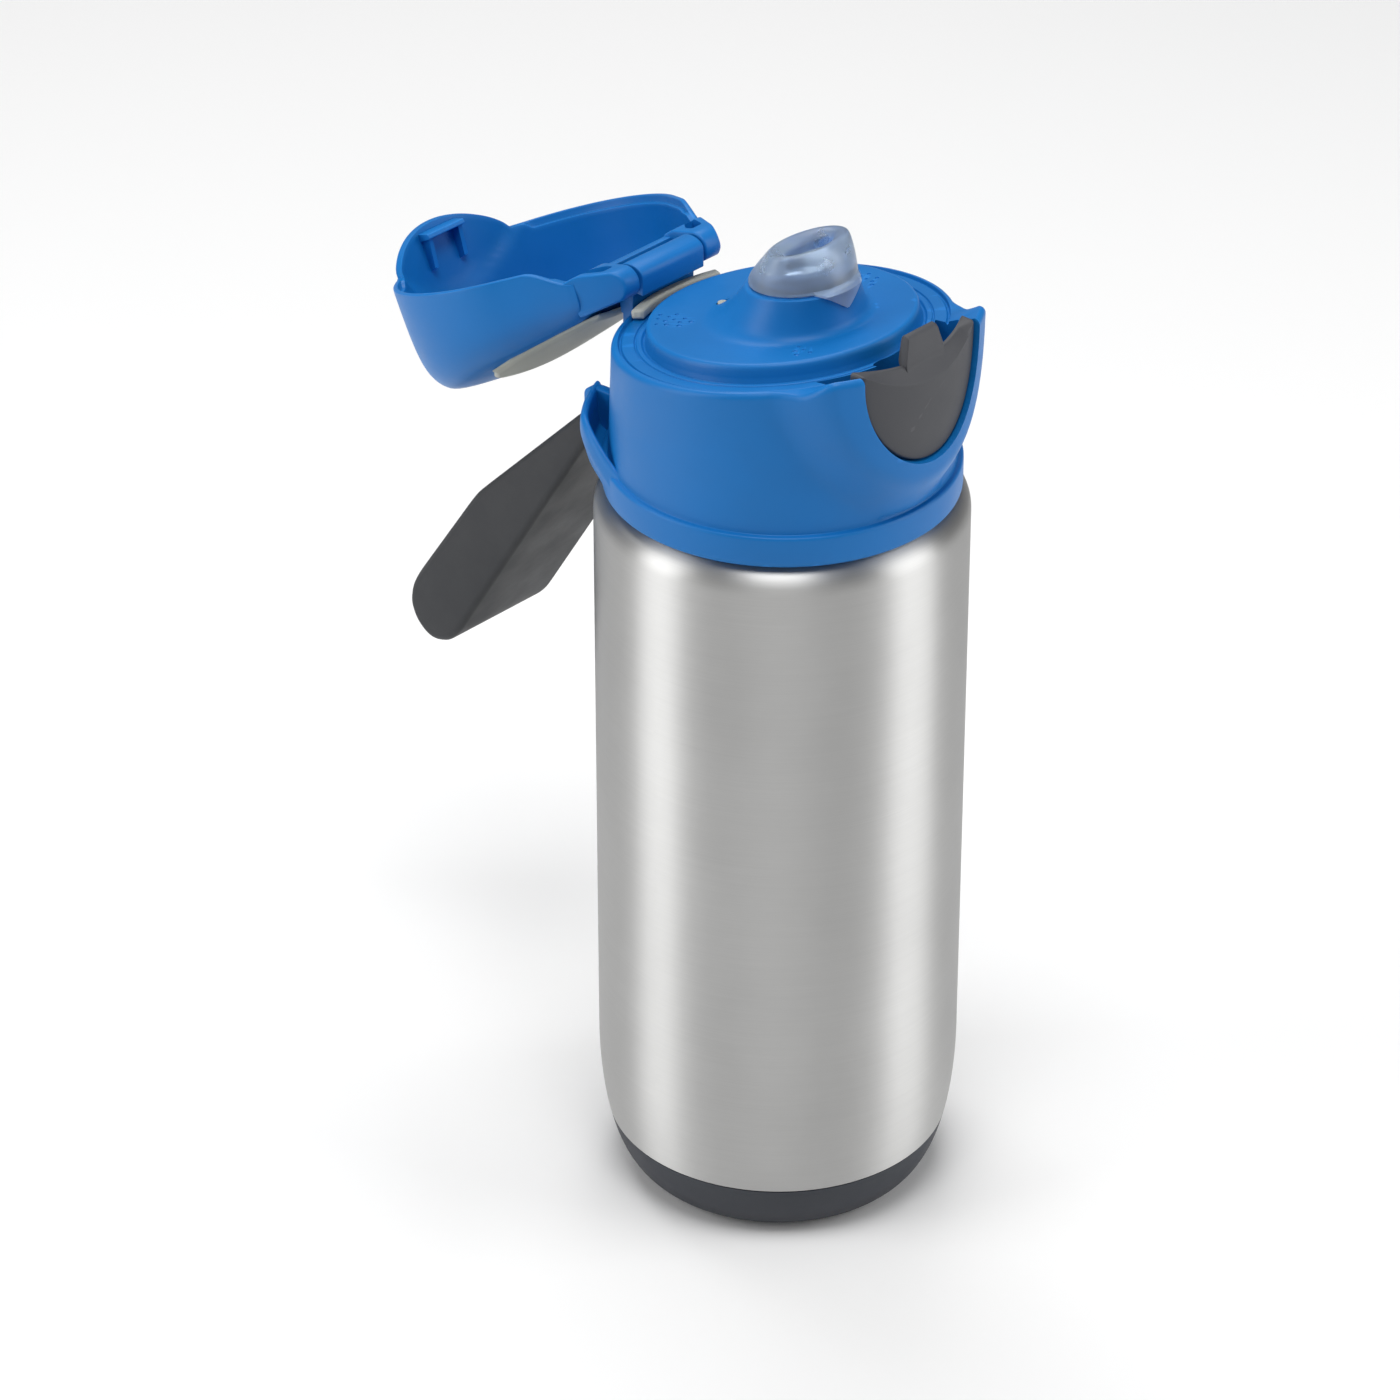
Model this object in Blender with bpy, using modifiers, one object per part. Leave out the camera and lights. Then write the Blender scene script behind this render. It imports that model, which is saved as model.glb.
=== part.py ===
"""Insulated drinking bottle with a screw-on lid, a soft spout under a flip cap,
a latch button at the front and a swinging carry handle at the back.

Frame: +Z up, origin at the centre of the base, the latch button faces -Y and
the cap hinge and the handle are at +Y. Lengths below are in millimetres and
MM turns them into metres. The cap is modelled open, the handle half lowered.
"""
import math

import bmesh
import bpy
from mathutils import Matrix, Vector

MM = 0.001
SEGMENTS = 48
GAP = 0.3

# Bottle
BODY_RADIUS = 36.5
BODY_CURVE_HEIGHT = 32.0
FOOT_RADIUS = 24.0
BUMPER_TOP = 13.0
BUMPER_WALL = 1.8
STEEL = 0.8
SHOULDER_Z = 153.2
NECK_RADIUS = 24.6
NECK_TOP = 176.7
MOUTH_RADIUS = 22.5
FLASK_RADIUS = 32.6

# Screw thread
THREAD_PITCH = 4.5
THREAD_TURNS = 1.5
THREAD_START = 164.5
THREAD_STEPS = 24

# Lid
LID_BOTTOM = 158.0
BAND_TOP = 164.4
BAND_RADIUS = 34.8
WALL_RADIUS = 33.5
TOP_RADIUS = 32.8
CAVITY_RADIUS = 31.2
CAVITY_TOP = 184.6
DECK_TILT = math.radians(8.5)
DECK_Z = 191.0
DISC_RADIUS = 25.6
DISC_HEIGHT = 3.0

# Button and its housing
BUTTON_TOP = 198.5
BUTTON_HALF_WIDTH = 15.8
BUTTON_DEPTH = 20.0
BUTTON_SIDE = 1.5
BUTTON_FACE_RADIUS = 37.3
BUTTON_BACK_RADIUS = 35.3
BUTTON_POCKET_RADIUS = 33.2
HOUSING_RADIUS = 38.4
HOUSING_TOP = 198.4
BUTTON_AXIS_Y = -33.4
BUTTON_AXIS_Z = 185.5

# Cap and its hinge
CAP_AXIS_Y = 32.2
CAP_AXIS_Z = 193.0
CAP_SLOPE = math.radians(23.2)
CAP_RADIUS = 29.6
CAP_CENTRE = 33.6
CAP_RIM = 6.6
CAP_WALL = 1.9
CAP_BACK = 5.2
TONGUE_HALF_WIDTH = 14.6
TONGUE_HEIGHT = 7.1
PIN_RADIUS = 1.25
KNUCKLE_HALF_WIDTH = 8.6

# Handle
HANDLE_AXIS_Y = 35.6
HANDLE_AXIS_Z = 164.3
HANDLE_SLOPE = math.radians(57.5)
HANDLE_HALF_WIDTH = 13.8
HANDLE_ROOT = 2.3

STEEL_GREY = ((0.62, 0.62, 0.61), 0.32, 1.0)
LID_BLUE = ((0.02, 0.14, 0.45), 0.38, 0.0)
DARK_GREY = ((0.045, 0.048, 0.055), 0.6, 0.0)
CLEAR_SILICONE = ((0.75, 0.80, 0.85), 0.3, 0.0)
PALE_SILICONE = ((0.62, 0.62, 0.55), 0.5, 0.0)
WHITE_PLASTIC = ((0.8, 0.8, 0.78), 0.4, 0.0)

parts = None
cutters = None


def smooth(value):
    """Rise smoothly from 0 to 1 while value goes from 0 to 1."""
    value = min(max(value, 0.0), 1.0)
    return value * value * (3.0 - 2.0 * value)


def interpolate(table, position):
    """Read a piecewise straight line given as (position, value) pairs."""
    for (start, low), (end, high) in zip(table, table[1:]):
        if position <= end:
            share = max((position - start) / (end - start), 0.0)
            return low + (high - low) * share
    return table[-1][1]


def finish(name, look):
    """Make the material of one sub-part."""
    colour, roughness, metallic = look
    material = bpy.data.materials.new(name + "_finish")
    material.use_nodes = True
    shader = material.node_tree.nodes["Principled BSDF"]
    shader.inputs["Base Color"].default_value = (*colour, 1.0)
    shader.inputs["Roughness"].default_value = roughness
    shader.inputs["Metallic"].default_value = metallic
    return material


def place(name, mesh, look):
    """Put a mesh in the parts collection, or with the cutters when look is None."""
    obj = bpy.data.objects.new(name, mesh)
    if look is None:
        cutters.objects.link(obj)
        obj.hide_render = True
        obj.display_type = "WIRE"
        return obj
    parts.objects.link(obj)
    mesh.materials.append(finish(name, look))
    return obj


def from_bmesh(name, builder, look):
    """Close a bmesh into a smooth-shaded object."""
    bmesh.ops.remove_doubles(builder, verts=builder.verts, dist=0.00002)
    bmesh.ops.recalc_face_normals(builder, faces=builder.faces)
    mesh = bpy.data.meshes.new(name)
    builder.to_mesh(mesh)
    builder.free()
    mesh.shade_smooth()
    mesh.set_sharp_from_angle(angle=math.radians(35))
    return place(name, mesh, look)


def turned(name, profile, look, steps=SEGMENTS):
    """Turn an (r, z) profile about Z; it runs down the outer side."""
    mesh = bpy.data.meshes.new(name)
    count = len(profile)
    edges = [(i, i + 1) for i in range(count - 1)]
    if profile[0][0] > 0.0:
        edges.append((count - 1, 0))
    mesh.from_pydata([(r * MM, 0.0, z * MM) for r, z in profile], edges, [])
    obj = place(name, mesh, look)
    screw = obj.modifiers.new("turn", "SCREW")
    screw.steps = steps
    screw.render_steps = steps
    screw.use_merge_vertices = True
    screw.merge_threshold = 0.00001
    return obj


def loft(name, rings, look, loop=False):
    """Skin a list of closed rings of points; a ring of one point is a pole."""
    builder = bmesh.new()
    layers = [[builder.verts.new(p * MM) for p in ring] for ring in rings]
    pairs = list(zip(layers, layers[1:]))
    if loop:
        pairs.append((layers[-1], layers[0]))
    for lower, upper in pairs:
        count = max(len(lower), len(upper))
        for i in range(count):
            j = (i + 1) % count
            corners = []
            for layer, k in ((lower, i), (lower, j), (upper, j), (upper, i)):
                vertex = layer[k] if len(layer) > 1 else layer[0]
                if vertex not in corners:
                    corners.append(vertex)
            builder.faces.new(corners)
    if not loop:
        for layer in (layers[0], layers[-1]):
            if len(layer) > 1:
                builder.faces.new(layer)
    return from_bmesh(name, builder, look)


def prism(name, outline, start, end, look, to_world=None):
    """Extrude a (u, v) outline along X from start to end; u, v become Y, Z."""
    builder = bmesh.new()
    place_point = to_world or (lambda u, v: (u, v))
    base = []
    for u, v in outline:
        y, z = place_point(u, v)
        base.append(builder.verts.new(Vector((start, y, z)) * MM))
    face = builder.faces.new(base)
    grown = bmesh.ops.extrude_face_region(builder, geom=[face])
    moved = [item for item in grown["geom"] if isinstance(item, bmesh.types.BMVert)]
    bmesh.ops.translate(builder, verts=moved, vec=Vector((end - start, 0.0, 0.0)) * MM)
    return from_bmesh(name, builder, look)


def rod(name, radius, start, end, look, sides=16):
    """Cylinder along a straight line between two points."""
    builder = bmesh.new()
    line = (Vector(end) - Vector(start)) * MM
    turn = line.to_track_quat("Z", "Y").to_matrix().to_4x4()
    middle = Matrix.Translation((Vector(start) + Vector(end)) * MM / 2.0)
    bmesh.ops.create_cone(builder, cap_ends=True, segments=sides, radius1=radius * MM,
                          radius2=radius * MM, depth=line.length, matrix=middle @ turn)
    return from_bmesh(name, builder, look)


def combine(obj, other, operation):
    """Add a Boolean modifier."""
    modifier = obj.modifiers.new(other.name, "BOOLEAN")
    modifier.operation = operation
    modifier.solver = "EXACT"
    modifier.object = other


def angles(count=SEGMENTS):
    return [2.0 * math.pi * i / count for i in range(count)]


def arc(centre, radius, first, last, count):
    """Points of a circular arc in a plane, angles in degrees."""
    points = []
    for i in range(count + 1):
        angle = math.radians(first + (last - first) * i / count)
        points.append((centre[0] + radius * math.cos(angle),
                       centre[1] + radius * math.sin(angle)))
    return points


# ---------------------------------------------------------------- bottle

def body_radius(z):
    """Outer radius of the bottle: straight, curving in towards the foot."""
    rise = 1.0 - min(z / BODY_CURVE_HEIGHT, 1.0)
    return FOOT_RADIUS + (BODY_RADIUS - FOOT_RADIUS) * (1.0 - rise * rise) ** 0.355


def make_bumper():
    """Soft boot pressed over the foot of the bottle."""
    outer = [(body_radius(z), z) for z in (BUMPER_TOP, 10.0, 7.5, 5.2, 3.3, 1.8, 0.8, 0.3)]
    inner = [(body_radius(z) - BUMPER_WALL, z) for z in (3.6, 5.2, 7.5, 10.0, BUMPER_TOP)]
    profile = [(0.0, 3.2), (24.0, 3.2)] + inner + outer
    profile += [(26.0, 0.0), (20.0, 0.0), (19.6, 0.7), (18.8, 0.7), (18.4, 0.0), (0.0, 0.0)]
    turned("base_bumper", profile, DARK_GREY)


def hidden_radius(z):
    """Radius of the steel wall where the bumper covers it."""
    return body_radius(z) - BUMPER_WALL - GAP


def make_outer_shell():
    """Brushed outer wall with its shoulder and threaded neck."""
    curve = (28.0, 24.0, 20.0, 16.5, BUMPER_TOP + GAP)
    cover = BUMPER_TOP + GAP
    outer = [(NECK_RADIUS - 1.0, NECK_TOP), (NECK_RADIUS, NECK_TOP), (NECK_RADIUS, 161.5),
             (25.3, 159.2), (27.2, 158.1), (33.4, 157.0), (34.9, 156.2), (36.0, 154.9),
             (BODY_RADIUS, SHOULDER_Z), (BODY_RADIUS, BODY_CURVE_HEIGHT)]
    outer += [(body_radius(z), z) for z in curve]
    outer += [(hidden_radius(z), z) for z in (cover, 9.0, 4.6)]
    inner = [(hidden_radius(z) - STEEL, z) for z in (4.6, 9.0, cover + STEEL)]
    inner += [(body_radius(z) - STEEL, z) for z in (cover + STEEL, 20.0, BODY_CURVE_HEIGHT)]
    inner += [(BODY_RADIUS - STEEL, SHOULDER_Z - 0.2), (34.4, 155.4), (33.2, 156.2),
              (26.8, 157.3), (24.4, 158.6), (NECK_RADIUS - 1.0, 161.0)]
    shell = turned("outer_shell", outer + inner, STEEL_GREY)
    ridge = thread_ridge("neck_thread_form", NECK_RADIUS - 0.4, 26.0, 0.0)
    combine(shell, ridge, "UNION")


def thread_ridge(name, root, crest, lift):
    """Helical ridge, 1.5 turns, from the wall radius to the crest radius."""
    rings = []
    count = int(THREAD_STEPS * THREAD_TURNS)
    for i in range(count + 1):
        angle = 2.0 * math.pi * (i + 0.27) / THREAD_STEPS
        z = THREAD_START + lift + THREAD_PITCH * i / THREAD_STEPS
        taper = min(1.0, 0.35 + 0.65 * min(i, count - i) / 3.0)
        tip = root + (crest - root) * taper
        ring = []
        for radius, offset in ((root, -1.0), (tip, -0.45), (tip, 0.45), (root, 1.0)):
            ring.append(Vector((radius * math.cos(angle), radius * math.sin(angle), z + offset)))
        rings.append(ring)
    return loft(name, rings, None)


def make_base_cup():
    """Steel disc closing the foot, its getter pellet and the evacuation seal."""
    turned("base_cup", [(0.0, 7.2), (9.0, 7.2), (11.0, 5.4), (28.1, 5.2), (28.1, 4.2),
                        (10.4, 4.4), (8.6, 6.4), (0.0, 6.4)], STEEL_GREY)
    turned("getter", [(0.0, 8.5), (4.0, 8.5), (4.0, 7.5), (0.0, 7.5)], STEEL_GREY, steps=24)
    turned("vacuum_seal", [(0.0, 6.0), (5.0, 6.0), (5.6, 5.6), (5.6, 4.6), (0.0, 4.6)],
           STEEL_GREY, steps=24)


def make_inner_flask():
    """Inner steel wall; its mouth is rolled over the outer neck."""
    wall = FLASK_RADIUS
    outer = [(0.0, 9.8), (25.3, 9.8), (27.7, 10.8), (29.7, 13.0), (30.9, 16.0),
             (wall - STEEL, 21.2), (wall - STEEL, 146.0), (31.0, 148.9), (27.5, 152.1),
             (24.3, 154.2), (MOUTH_RADIUS, 157.2), (MOUTH_RADIUS, 177.6), (22.9, 178.2), (23.6, 178.4), (24.5, 178.1),
             (24.9, 177.5), (24.7, 177.0), (23.3, 177.0)]
    inner = [(23.3, 157.4), (24.8, 155.0), (28.0, 152.8), (31.6, 149.5), (wall, 146.2),
             (wall, 21.0), (31.7, 15.6), (30.3, 12.4), (28.1, 10.0), (25.5, 9.0), (0.0, 9.0)]
    turned("inner_flask", outer + inner, STEEL_GREY)


# ---------------------------------------------------------------- lid

def ridge_z(y):
    """Height of the lid's sloping top edge, low at the hinge."""
    return DECK_Z - math.tan(DECK_TILT) * y


def deck_point(radius, angle, height, centre_y=0.0):
    """Point on a circle parallel to the sloping deck."""
    x = radius * math.cos(angle)
    y = centre_y + radius * math.sin(angle)
    lean = height * math.sin(DECK_TILT)
    return Vector((x, y + lean, ridge_z(y) + height * math.cos(DECK_TILT)))


def housing_bulge(x, y, z):
    """1 inside the raised rim around the button, falling to 0 around it."""
    if y > 0.0:
        return 0.0
    width = BUTTON_HALF_WIDTH + 1.9
    depth = BUTTON_DEPTH + BUTTON_SIDE + 2.2
    reach = math.hypot(x / width, min(z - HOUSING_TOP, 0.0) / depth)
    return smooth((1.5 - reach) / 0.5)


def lid_top(x, y):
    """Height of the lid's outer top edge, raised around the button."""
    level = ridge_z(y)
    if y > 0.0:
        return level
    share = smooth((BUTTON_HALF_WIDTH + 6.9 - abs(x)) / 5.0)
    return level + max(HOUSING_TOP - level, 0.0) * share


def wall_point(angle, share, inset=0.0):
    """Point on the lid's outer wall, share 0 at the band and 1 at the top."""
    radius = WALL_RADIUS + (TOP_RADIUS - WALL_RADIUS) * share - inset
    x = radius * math.cos(angle)
    y = radius * math.sin(angle)
    z = BAND_TOP + 1.0 + (lid_top(x, y) - BAND_TOP - 1.0) * share
    grown = radius + (HOUSING_RADIUS - inset - radius) * housing_bulge(x, y, z)
    return Vector((grown * math.cos(angle), grown * math.sin(angle), z))


def make_lid_body():
    """Lid shell with sloping deck, button housing, knuckle and handle guard."""
    def flat(radius, z):
        return [Vector((radius * math.cos(a), radius * math.sin(a), z)) for a in angles()]

    def deck(radius, height):
        return [deck_point(radius, a, height) for a in angles()]

    rings = [[deck_point(0.0, 0.0, 0.8)], deck(25.2, 0.8)]
    rings += [flat(25.4, CAVITY_TOP), flat(CAVITY_RADIUS, CAVITY_TOP)]
    rings += [flat(CAVITY_RADIUS, 172.0), flat(CAVITY_RADIUS, LID_BOTTOM + 0.4)]
    rings += [flat(33.4, LID_BOTTOM), flat(BAND_RADIUS, LID_BOTTOM + 0.3)]
    rings += [flat(BAND_RADIUS - 0.2, BAND_TOP - 0.6), flat(BAND_RADIUS - 0.7, BAND_TOP)]
    for share in (0.0, 0.12, 0.24, 0.36, 0.48, 0.6, 0.72, 0.84, 0.93, 0.985):
        rings.append([wall_point(a, share) for a in angles()])
    rings.append([wall_point(a, 1.0, inset=0.5) for a in angles()])
    rings.append([wall_point(a, 1.0, inset=1.0) for a in angles()])
    rings += [deck(31.5, 0.0), deck(31.2, -0.7), deck(30.8, -0.3), deck(28.5, -0.3)]
    rings += [deck(28.2, -0.6), deck(27.9, -0.3), deck(26.7, -0.4), deck(26.0, 2.8)]
    rings += [deck(25.4, 3.2), deck(24.6, DISC_HEIGHT)]
    rings.append([deck_point(0.0, 0.0, DISC_HEIGHT)])
    lid = loft("lid_body", rings, LID_BLUE)
    combine(lid, spout_boss(), "UNION")
    combine(lid, hinge_knuckle(), "UNION")
    combine(lid, handle_guard(), "UNION")
    for side in (-1.0, 1.0):
        combine(lid, guard_lug(side), "UNION")
    for cutter in lid_cutters():
        combine(lid, cutter, "DIFFERENCE")


def spout_boss():
    """Cone on the deck that carries the spout."""
    rings = []
    for radius, height, centre in ((16.4, 1.7, -2.1), (15.8, 3.5, -2.3), (14.2, 4.4, -2.9),
                                   (12.5, 6.6, -4.3), (11.4, 9.0, -5.5), (10.8, 10.9, -6.35)):
        rings.append([deck_point(radius, a, height, centre) for a in angles(40)])
    return loft("spout_boss_form", rings, None)


def hinge_knuckle():
    """Middle barrel of the cap hinge on its arm down the back wall."""
    outline = [(28.6, 190.4), (28.6, 194.6), (29.3, 195.6), (31.0, 196.2), (33.0, 196.1),
               (34.3, 195.4), (34.9, 194.0), (34.9, 187.0), (33.4, 179.0), (31.4, 179.0),
               (31.2, 190.4)]
    return prism("knuckle_form", outline, -KNUCKLE_HALF_WIDTH, KNUCKLE_HALF_WIDTH, None)


def handle_guard():
    """Crescent flange standing off the back wall, cut away for the handle."""
    rings = []
    spread = math.radians(68.0)
    count = 28
    for i in range(count + 1):
        off_back = -spread + 2.0 * spread * i / count
        swell = smooth((spread - abs(off_back)) / math.radians(26.0))
        angle = math.pi / 2.0 - off_back
        top = BAND_TOP + 0.2 + 7.6 * swell
        crest = BAND_RADIUS - 0.9 + 5.0 * swell
        root = BAND_RADIUS - 1.6
        inner = crest - 1.8
        section = [(root, LID_BOTTOM + 1.0), (BAND_RADIUS - 0.05, LID_BOTTOM + 1.2),
                   ((BAND_RADIUS + crest) / 2.0 + 0.5 * swell, LID_BOTTOM + 4.6),
                   (crest, top - 3.6), (crest - 0.1, top - 0.8), (crest - 0.8, top),
                   (inner + 0.2, top - 0.3), (inner, top - 1.6),
                   (inner - 0.6 * swell, LID_BOTTOM + 6.4), (root, LID_BOTTOM + 5.4)]
        rings.append([Vector((r * math.cos(angle), r * math.sin(angle), z)) for r, z in section])
    return loft("guard_form", rings, None)


def guard_lug(side):
    """Cheek between the back wall and the guard that holds a handle trunnion."""
    outline = [(28.0, 160.7), (34.6, 160.7)]
    outline += arc((HANDLE_AXIS_Y, HANDLE_AXIS_Z), 2.7, -60.0, 110.0, 8) + [(28.0, 167.2)]
    inner = HANDLE_HALF_WIDTH + 0.9
    return prism("lug_form", outline, side * inner, side * (inner + 3.0), None)


def button_column(x, half_width, depth, top):
    """Lowest point of the D-shaped outline at x."""
    round_off = max(1.0 - (x / half_width) ** 2, 0.0)
    return top - BUTTON_SIDE - depth * math.sqrt(round_off)


def shelf_height(x, middle, end):
    """Height of an edge that sags from the button's corners to its middle."""
    return middle + (end - middle) * (x / BUTTON_HALF_WIDTH) ** 2


def curved_plate(name, half_width, depth, tops, inner, outer, look):
    """D-shaped plate bent to the lid's curve, between two cylinder radii."""
    columns = 14
    rows = 5
    builder = bmesh.new()
    layers = []
    for (radius, upper), (middle, end) in zip((inner, outer), tops):
        grid = []
        for i in range(columns + 1):
            x = -half_width * math.cos(math.pi * i / columns)
            low = button_column(x, half_width, depth, BUTTON_TOP)
            top = shelf_height(x, middle, end)
            column = []
            for j in range(rows + 1):
                z = low + (top - low) * j / rows
                reach = radius + (upper - radius) * smooth((z - 189.0) / 6.0)
                point = Vector((x, -math.sqrt(reach * reach - x * x), z))
                column.append(builder.verts.new(point * MM))
            grid.append(column)
        layers.append(grid)
    for grid in layers:
        for i in range(columns):
            for j in range(rows):
                builder.faces.new((grid[i][j], grid[i + 1][j], grid[i + 1][j + 1], grid[i][j + 1]))
    border = [(i, 0) for i in range(columns)] + [(columns, j) for j in range(rows)]
    border += [(i, rows) for i in range(columns, 0, -1)] + [(0, j) for j in range(rows, 0, -1)]
    for (i, j), (k, m) in zip(border, border[1:] + border[:1]):
        builder.faces.new((layers[0][i][j], layers[0][k][m], layers[1][k][m], layers[1][i][j]))
    return from_bmesh(name, builder, look)


def tongue_slot():
    """Clearance behind the button for the cap's tongue, open to the button pocket."""
    centre_y = CAP_AXIS_Y - CAP_CENTRE * math.cos(DECK_TILT) - CAP_RIM * math.sin(DECK_TILT)
    outer = BUTTON_POCKET_RADIUS + 0.5
    inner = CAP_RADIUS - CAP_WALL - 0.6
    half = TONGUE_HALF_WIDTH + 2.3
    count = 10
    plan = []
    for i in range(count + 1):
        x = half * (2.0 * i / count - 1.0)
        plan.append((x, -math.sqrt(outer * outer - x * x)))
    for i in range(count, -1, -1):
        x = half * (2.0 * i / count - 1.0)
        plan.append((x, centre_y - math.sqrt(inner * inner - x * x)))
    low = [Vector((x, y, 187.9)) for x, y in plan]
    high = [Vector((x, y, 215.0)) for x, y in plan]
    return loft("slot_form", [low, high], None)


def lid_cutters():
    """Everything that is cut out of the lid shell."""
    boss_low = deck_point(0.0, 0.0, -4.0, -6.3)
    boss_high = deck_point(0.0, 0.0, 16.0, -6.3)
    vent_low = Vector((-2.7, 13.2, 184.0))
    vent_high = Vector((-2.7, 13.2, 197.0))
    pocket = curved_plate("button_pocket_form", BUTTON_HALF_WIDTH + 0.4, BUTTON_DEPTH + 0.4,
                          ((210.5, 210.5), (210.5, 210.5)), (BUTTON_POCKET_RADIUS,) * 2,
                          (46.0, 46.0), None)
    notch = [(-31.0, 188.3), (-27.0, 188.3), (-27.0, 215.0), (-31.0, 215.0)]
    cut = [pocket, tongue_slot(), prism("catch_notch", notch, -5.8, 5.8, None)]
    cut.append(rod("boss_bore", 8.5, boss_low, boss_high, None, sides=32))
    cut.append(rod("vent_bore", 1.3, vent_low, vent_high, None, sides=12))
    for side in (-1.0, 1.0):
        cut.append(rod("button_socket", 0.98, (side * 11.0, BUTTON_AXIS_Y, BUTTON_AXIS_Z),
                       (side * 15.0, BUTTON_AXIS_Y, BUTTON_AXIS_Z), None))
        cut.append(rod("handle_socket", 1.34, (side * 13.9, HANDLE_AXIS_Y, HANDLE_AXIS_Z),
                       (side * 19.0, HANDLE_AXIS_Y, HANDLE_AXIS_Z), None))
    cut.append(rod("pin_bore", PIN_RADIUS + 0.05, (-20.0, CAP_AXIS_Y, CAP_AXIS_Z),
                   (20.0, CAP_AXIS_Y, CAP_AXIS_Z), None))
    notch = [(33.9, 150.0), (50.0, 150.0), (50.0, 185.0), (33.9, 185.0)]
    middle = HANDLE_HALF_WIDTH + 0.7
    cut.append(prism("guard_notch", notch, -middle, middle, None))
    cut.append(rod("barrel_clearance", HANDLE_ROOT + GAP, (-middle, HANDLE_AXIS_Y, HANDLE_AXIS_Z),
                   (middle, HANDLE_AXIS_Y, HANDLE_AXIS_Z), None, sides=24))
    return cut


def make_hinge_parts():
    """Steel hinge pin, and the soft stop pad under the knuckle."""
    rod("hinge_pin", PIN_RADIUS, (-13.3, CAP_AXIS_Y, CAP_AXIS_Z),
        (13.3, CAP_AXIS_Y, CAP_AXIS_Z), STEEL_GREY)
    rings = []
    for radius, height in ((28.3, 0.2), (30.6, 0.1), (30.9, 0.4), (30.9, 1.6), (30.5, 2.0),
                           (28.6, 2.1), (28.2, 1.7)):
        ring = []
        for i in range(13):
            angle = math.pi / 2.0 + math.radians(-23.0 + 46.0 * i / 12.0)
            ring.append(deck_point(radius, angle, height))
        rings.append(ring)
    columns = [list(column) for column in zip(*rings)]
    loft("hinge_pad", columns, PALE_SILICONE)


def make_lid_insert():
    """Threaded liner fixed inside the lid, with its plug ring and gasket."""
    profile = [(14.0, 183.6), (30.8, 183.6), (30.8, 181.8), (28.6, 181.0), (28.6, 160.0),
               (26.6, 160.0), (26.6, 180.0), (22.1, 180.0), (22.1, 172.0), (20.3, 172.0),
               (20.3, 181.4), (14.0, 181.4)]
    insert = turned("lid_insert", profile, WHITE_PLASTIC)
    ridge = thread_ridge("insert_thread_form", 26.9, 25.1, THREAD_PITCH / 2.0 - THREAD_PITCH)
    combine(insert, ridge, "UNION")
    turned("lid_gasket", [(22.6, 179.7), (26.1, 179.7), (26.1, 178.8), (22.6, 178.8)],
           PALE_SILICONE)


def spout_ring(radius, height, centre, slope=0.0, squash=1.0):
    """Ring of the spout, tipped back by slope and narrowed front to back by squash."""
    ring = []
    for angle in angles(32):
        x = radius * math.cos(angle)
        y = radius * squash * math.sin(angle)
        lift = height - slope * y
        point = deck_point(0.0, 0.0, lift, centre + y)
        ring.append(Vector((x, point.y, point.z)))
    return ring


def make_spout():
    """Soft spout: dished mouth, cone, sleeve through the boss and flange."""
    foot = -6.3
    rings = [spout_ring(10.3, 11.2, -6.5), spout_ring(10.3, 12.4, -6.7, 0.0, 0.98),
             spout_ring(10.2, 14.0, -7.2, 0.02, 0.91), spout_ring(9.8, 17.0, -8.2, 0.05, 0.75),
             spout_ring(9.4, 18.4, -8.6, 0.06, 0.66), spout_ring(8.6, 18.9, -8.7, 0.06, 0.61),
             spout_ring(7.4, 18.7, -8.7, 0.06, 0.56), spout_ring(6.3, 17.8, -8.7, 0.06, 0.45),
             spout_ring(6.0, 17.0, -8.6, 0.05, 0.42), spout_ring(5.9, 15.6, -8.3, 0.04, 0.42),
             spout_ring(8.0, 15.0, -7.7, 0.03, 0.72), spout_ring(8.6, 12.8, -6.8, 0.0, 0.95),
             spout_ring(6.8, 11.0, foot), spout_ring(6.8, -1.4, foot),
             spout_ring(11.0, -1.4, foot), spout_ring(11.0, 0.4, foot),
             spout_ring(8.1, 0.4, foot), spout_ring(8.1, 11.2, foot)]
    loft("spout", rings, CLEAR_SILICONE, loop=True)
    clip = [spout_ring(7.4, -1.8, foot), spout_ring(7.4, -3.0, foot),
            spout_ring(13.0, -3.0, foot), spout_ring(13.0, -1.8, foot)]
    loft("spout_clip", clip, WHITE_PLASTIC, loop=True)


def make_vent_valve():
    """Small umbrella valve under the air hole of the deck."""
    head = deck_point(0.0, 0.0, 0.0, 13.2).z
    rings = []
    for radius, z in ((1.0, 3.4), (1.0, 0.3), (2.4, 0.1), (2.7, -0.4), (1.2, -1.2)):
        rings.append([Vector((-2.7 + radius * math.cos(a), 13.2 + radius * math.sin(a), head + z))
                      for a in angles(16)])
    loft("vent_valve", rings, PALE_SILICONE)


# ---------------------------------------------------------------- button

def make_button():
    """D-shaped latch button with its hook and trunnions."""
    crest = ((196.9, BUTTON_TOP), (193.4, BUTTON_TOP))
    button = curved_plate("latch_button", BUTTON_HALF_WIDTH, BUTTON_DEPTH, crest,
                          (BUTTON_BACK_RADIUS, 34.5), (BUTTON_FACE_RADIUS,) * 2, DARK_GREY)
    hook = [(-35.9, 193.6), (-35.4, 198.0), (-34.7, 202.3), (-33.2, 202.6), (-32.8, 201.6),
            (-33.3, 197.4), (-34.6, 194.8)]
    combine(button, prism("hook_form", hook, -4.8, 4.8, None), "UNION")
    for side in (-1.0, 1.0):
        start = (side * 9.5, BUTTON_AXIS_Y, BUTTON_AXIS_Z)
        end = (side * 14.5, BUTTON_AXIS_Y, BUTTON_AXIS_Z)
        combine(button, rod("trunnion_form", 0.9, start, end, None), "UNION")


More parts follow.
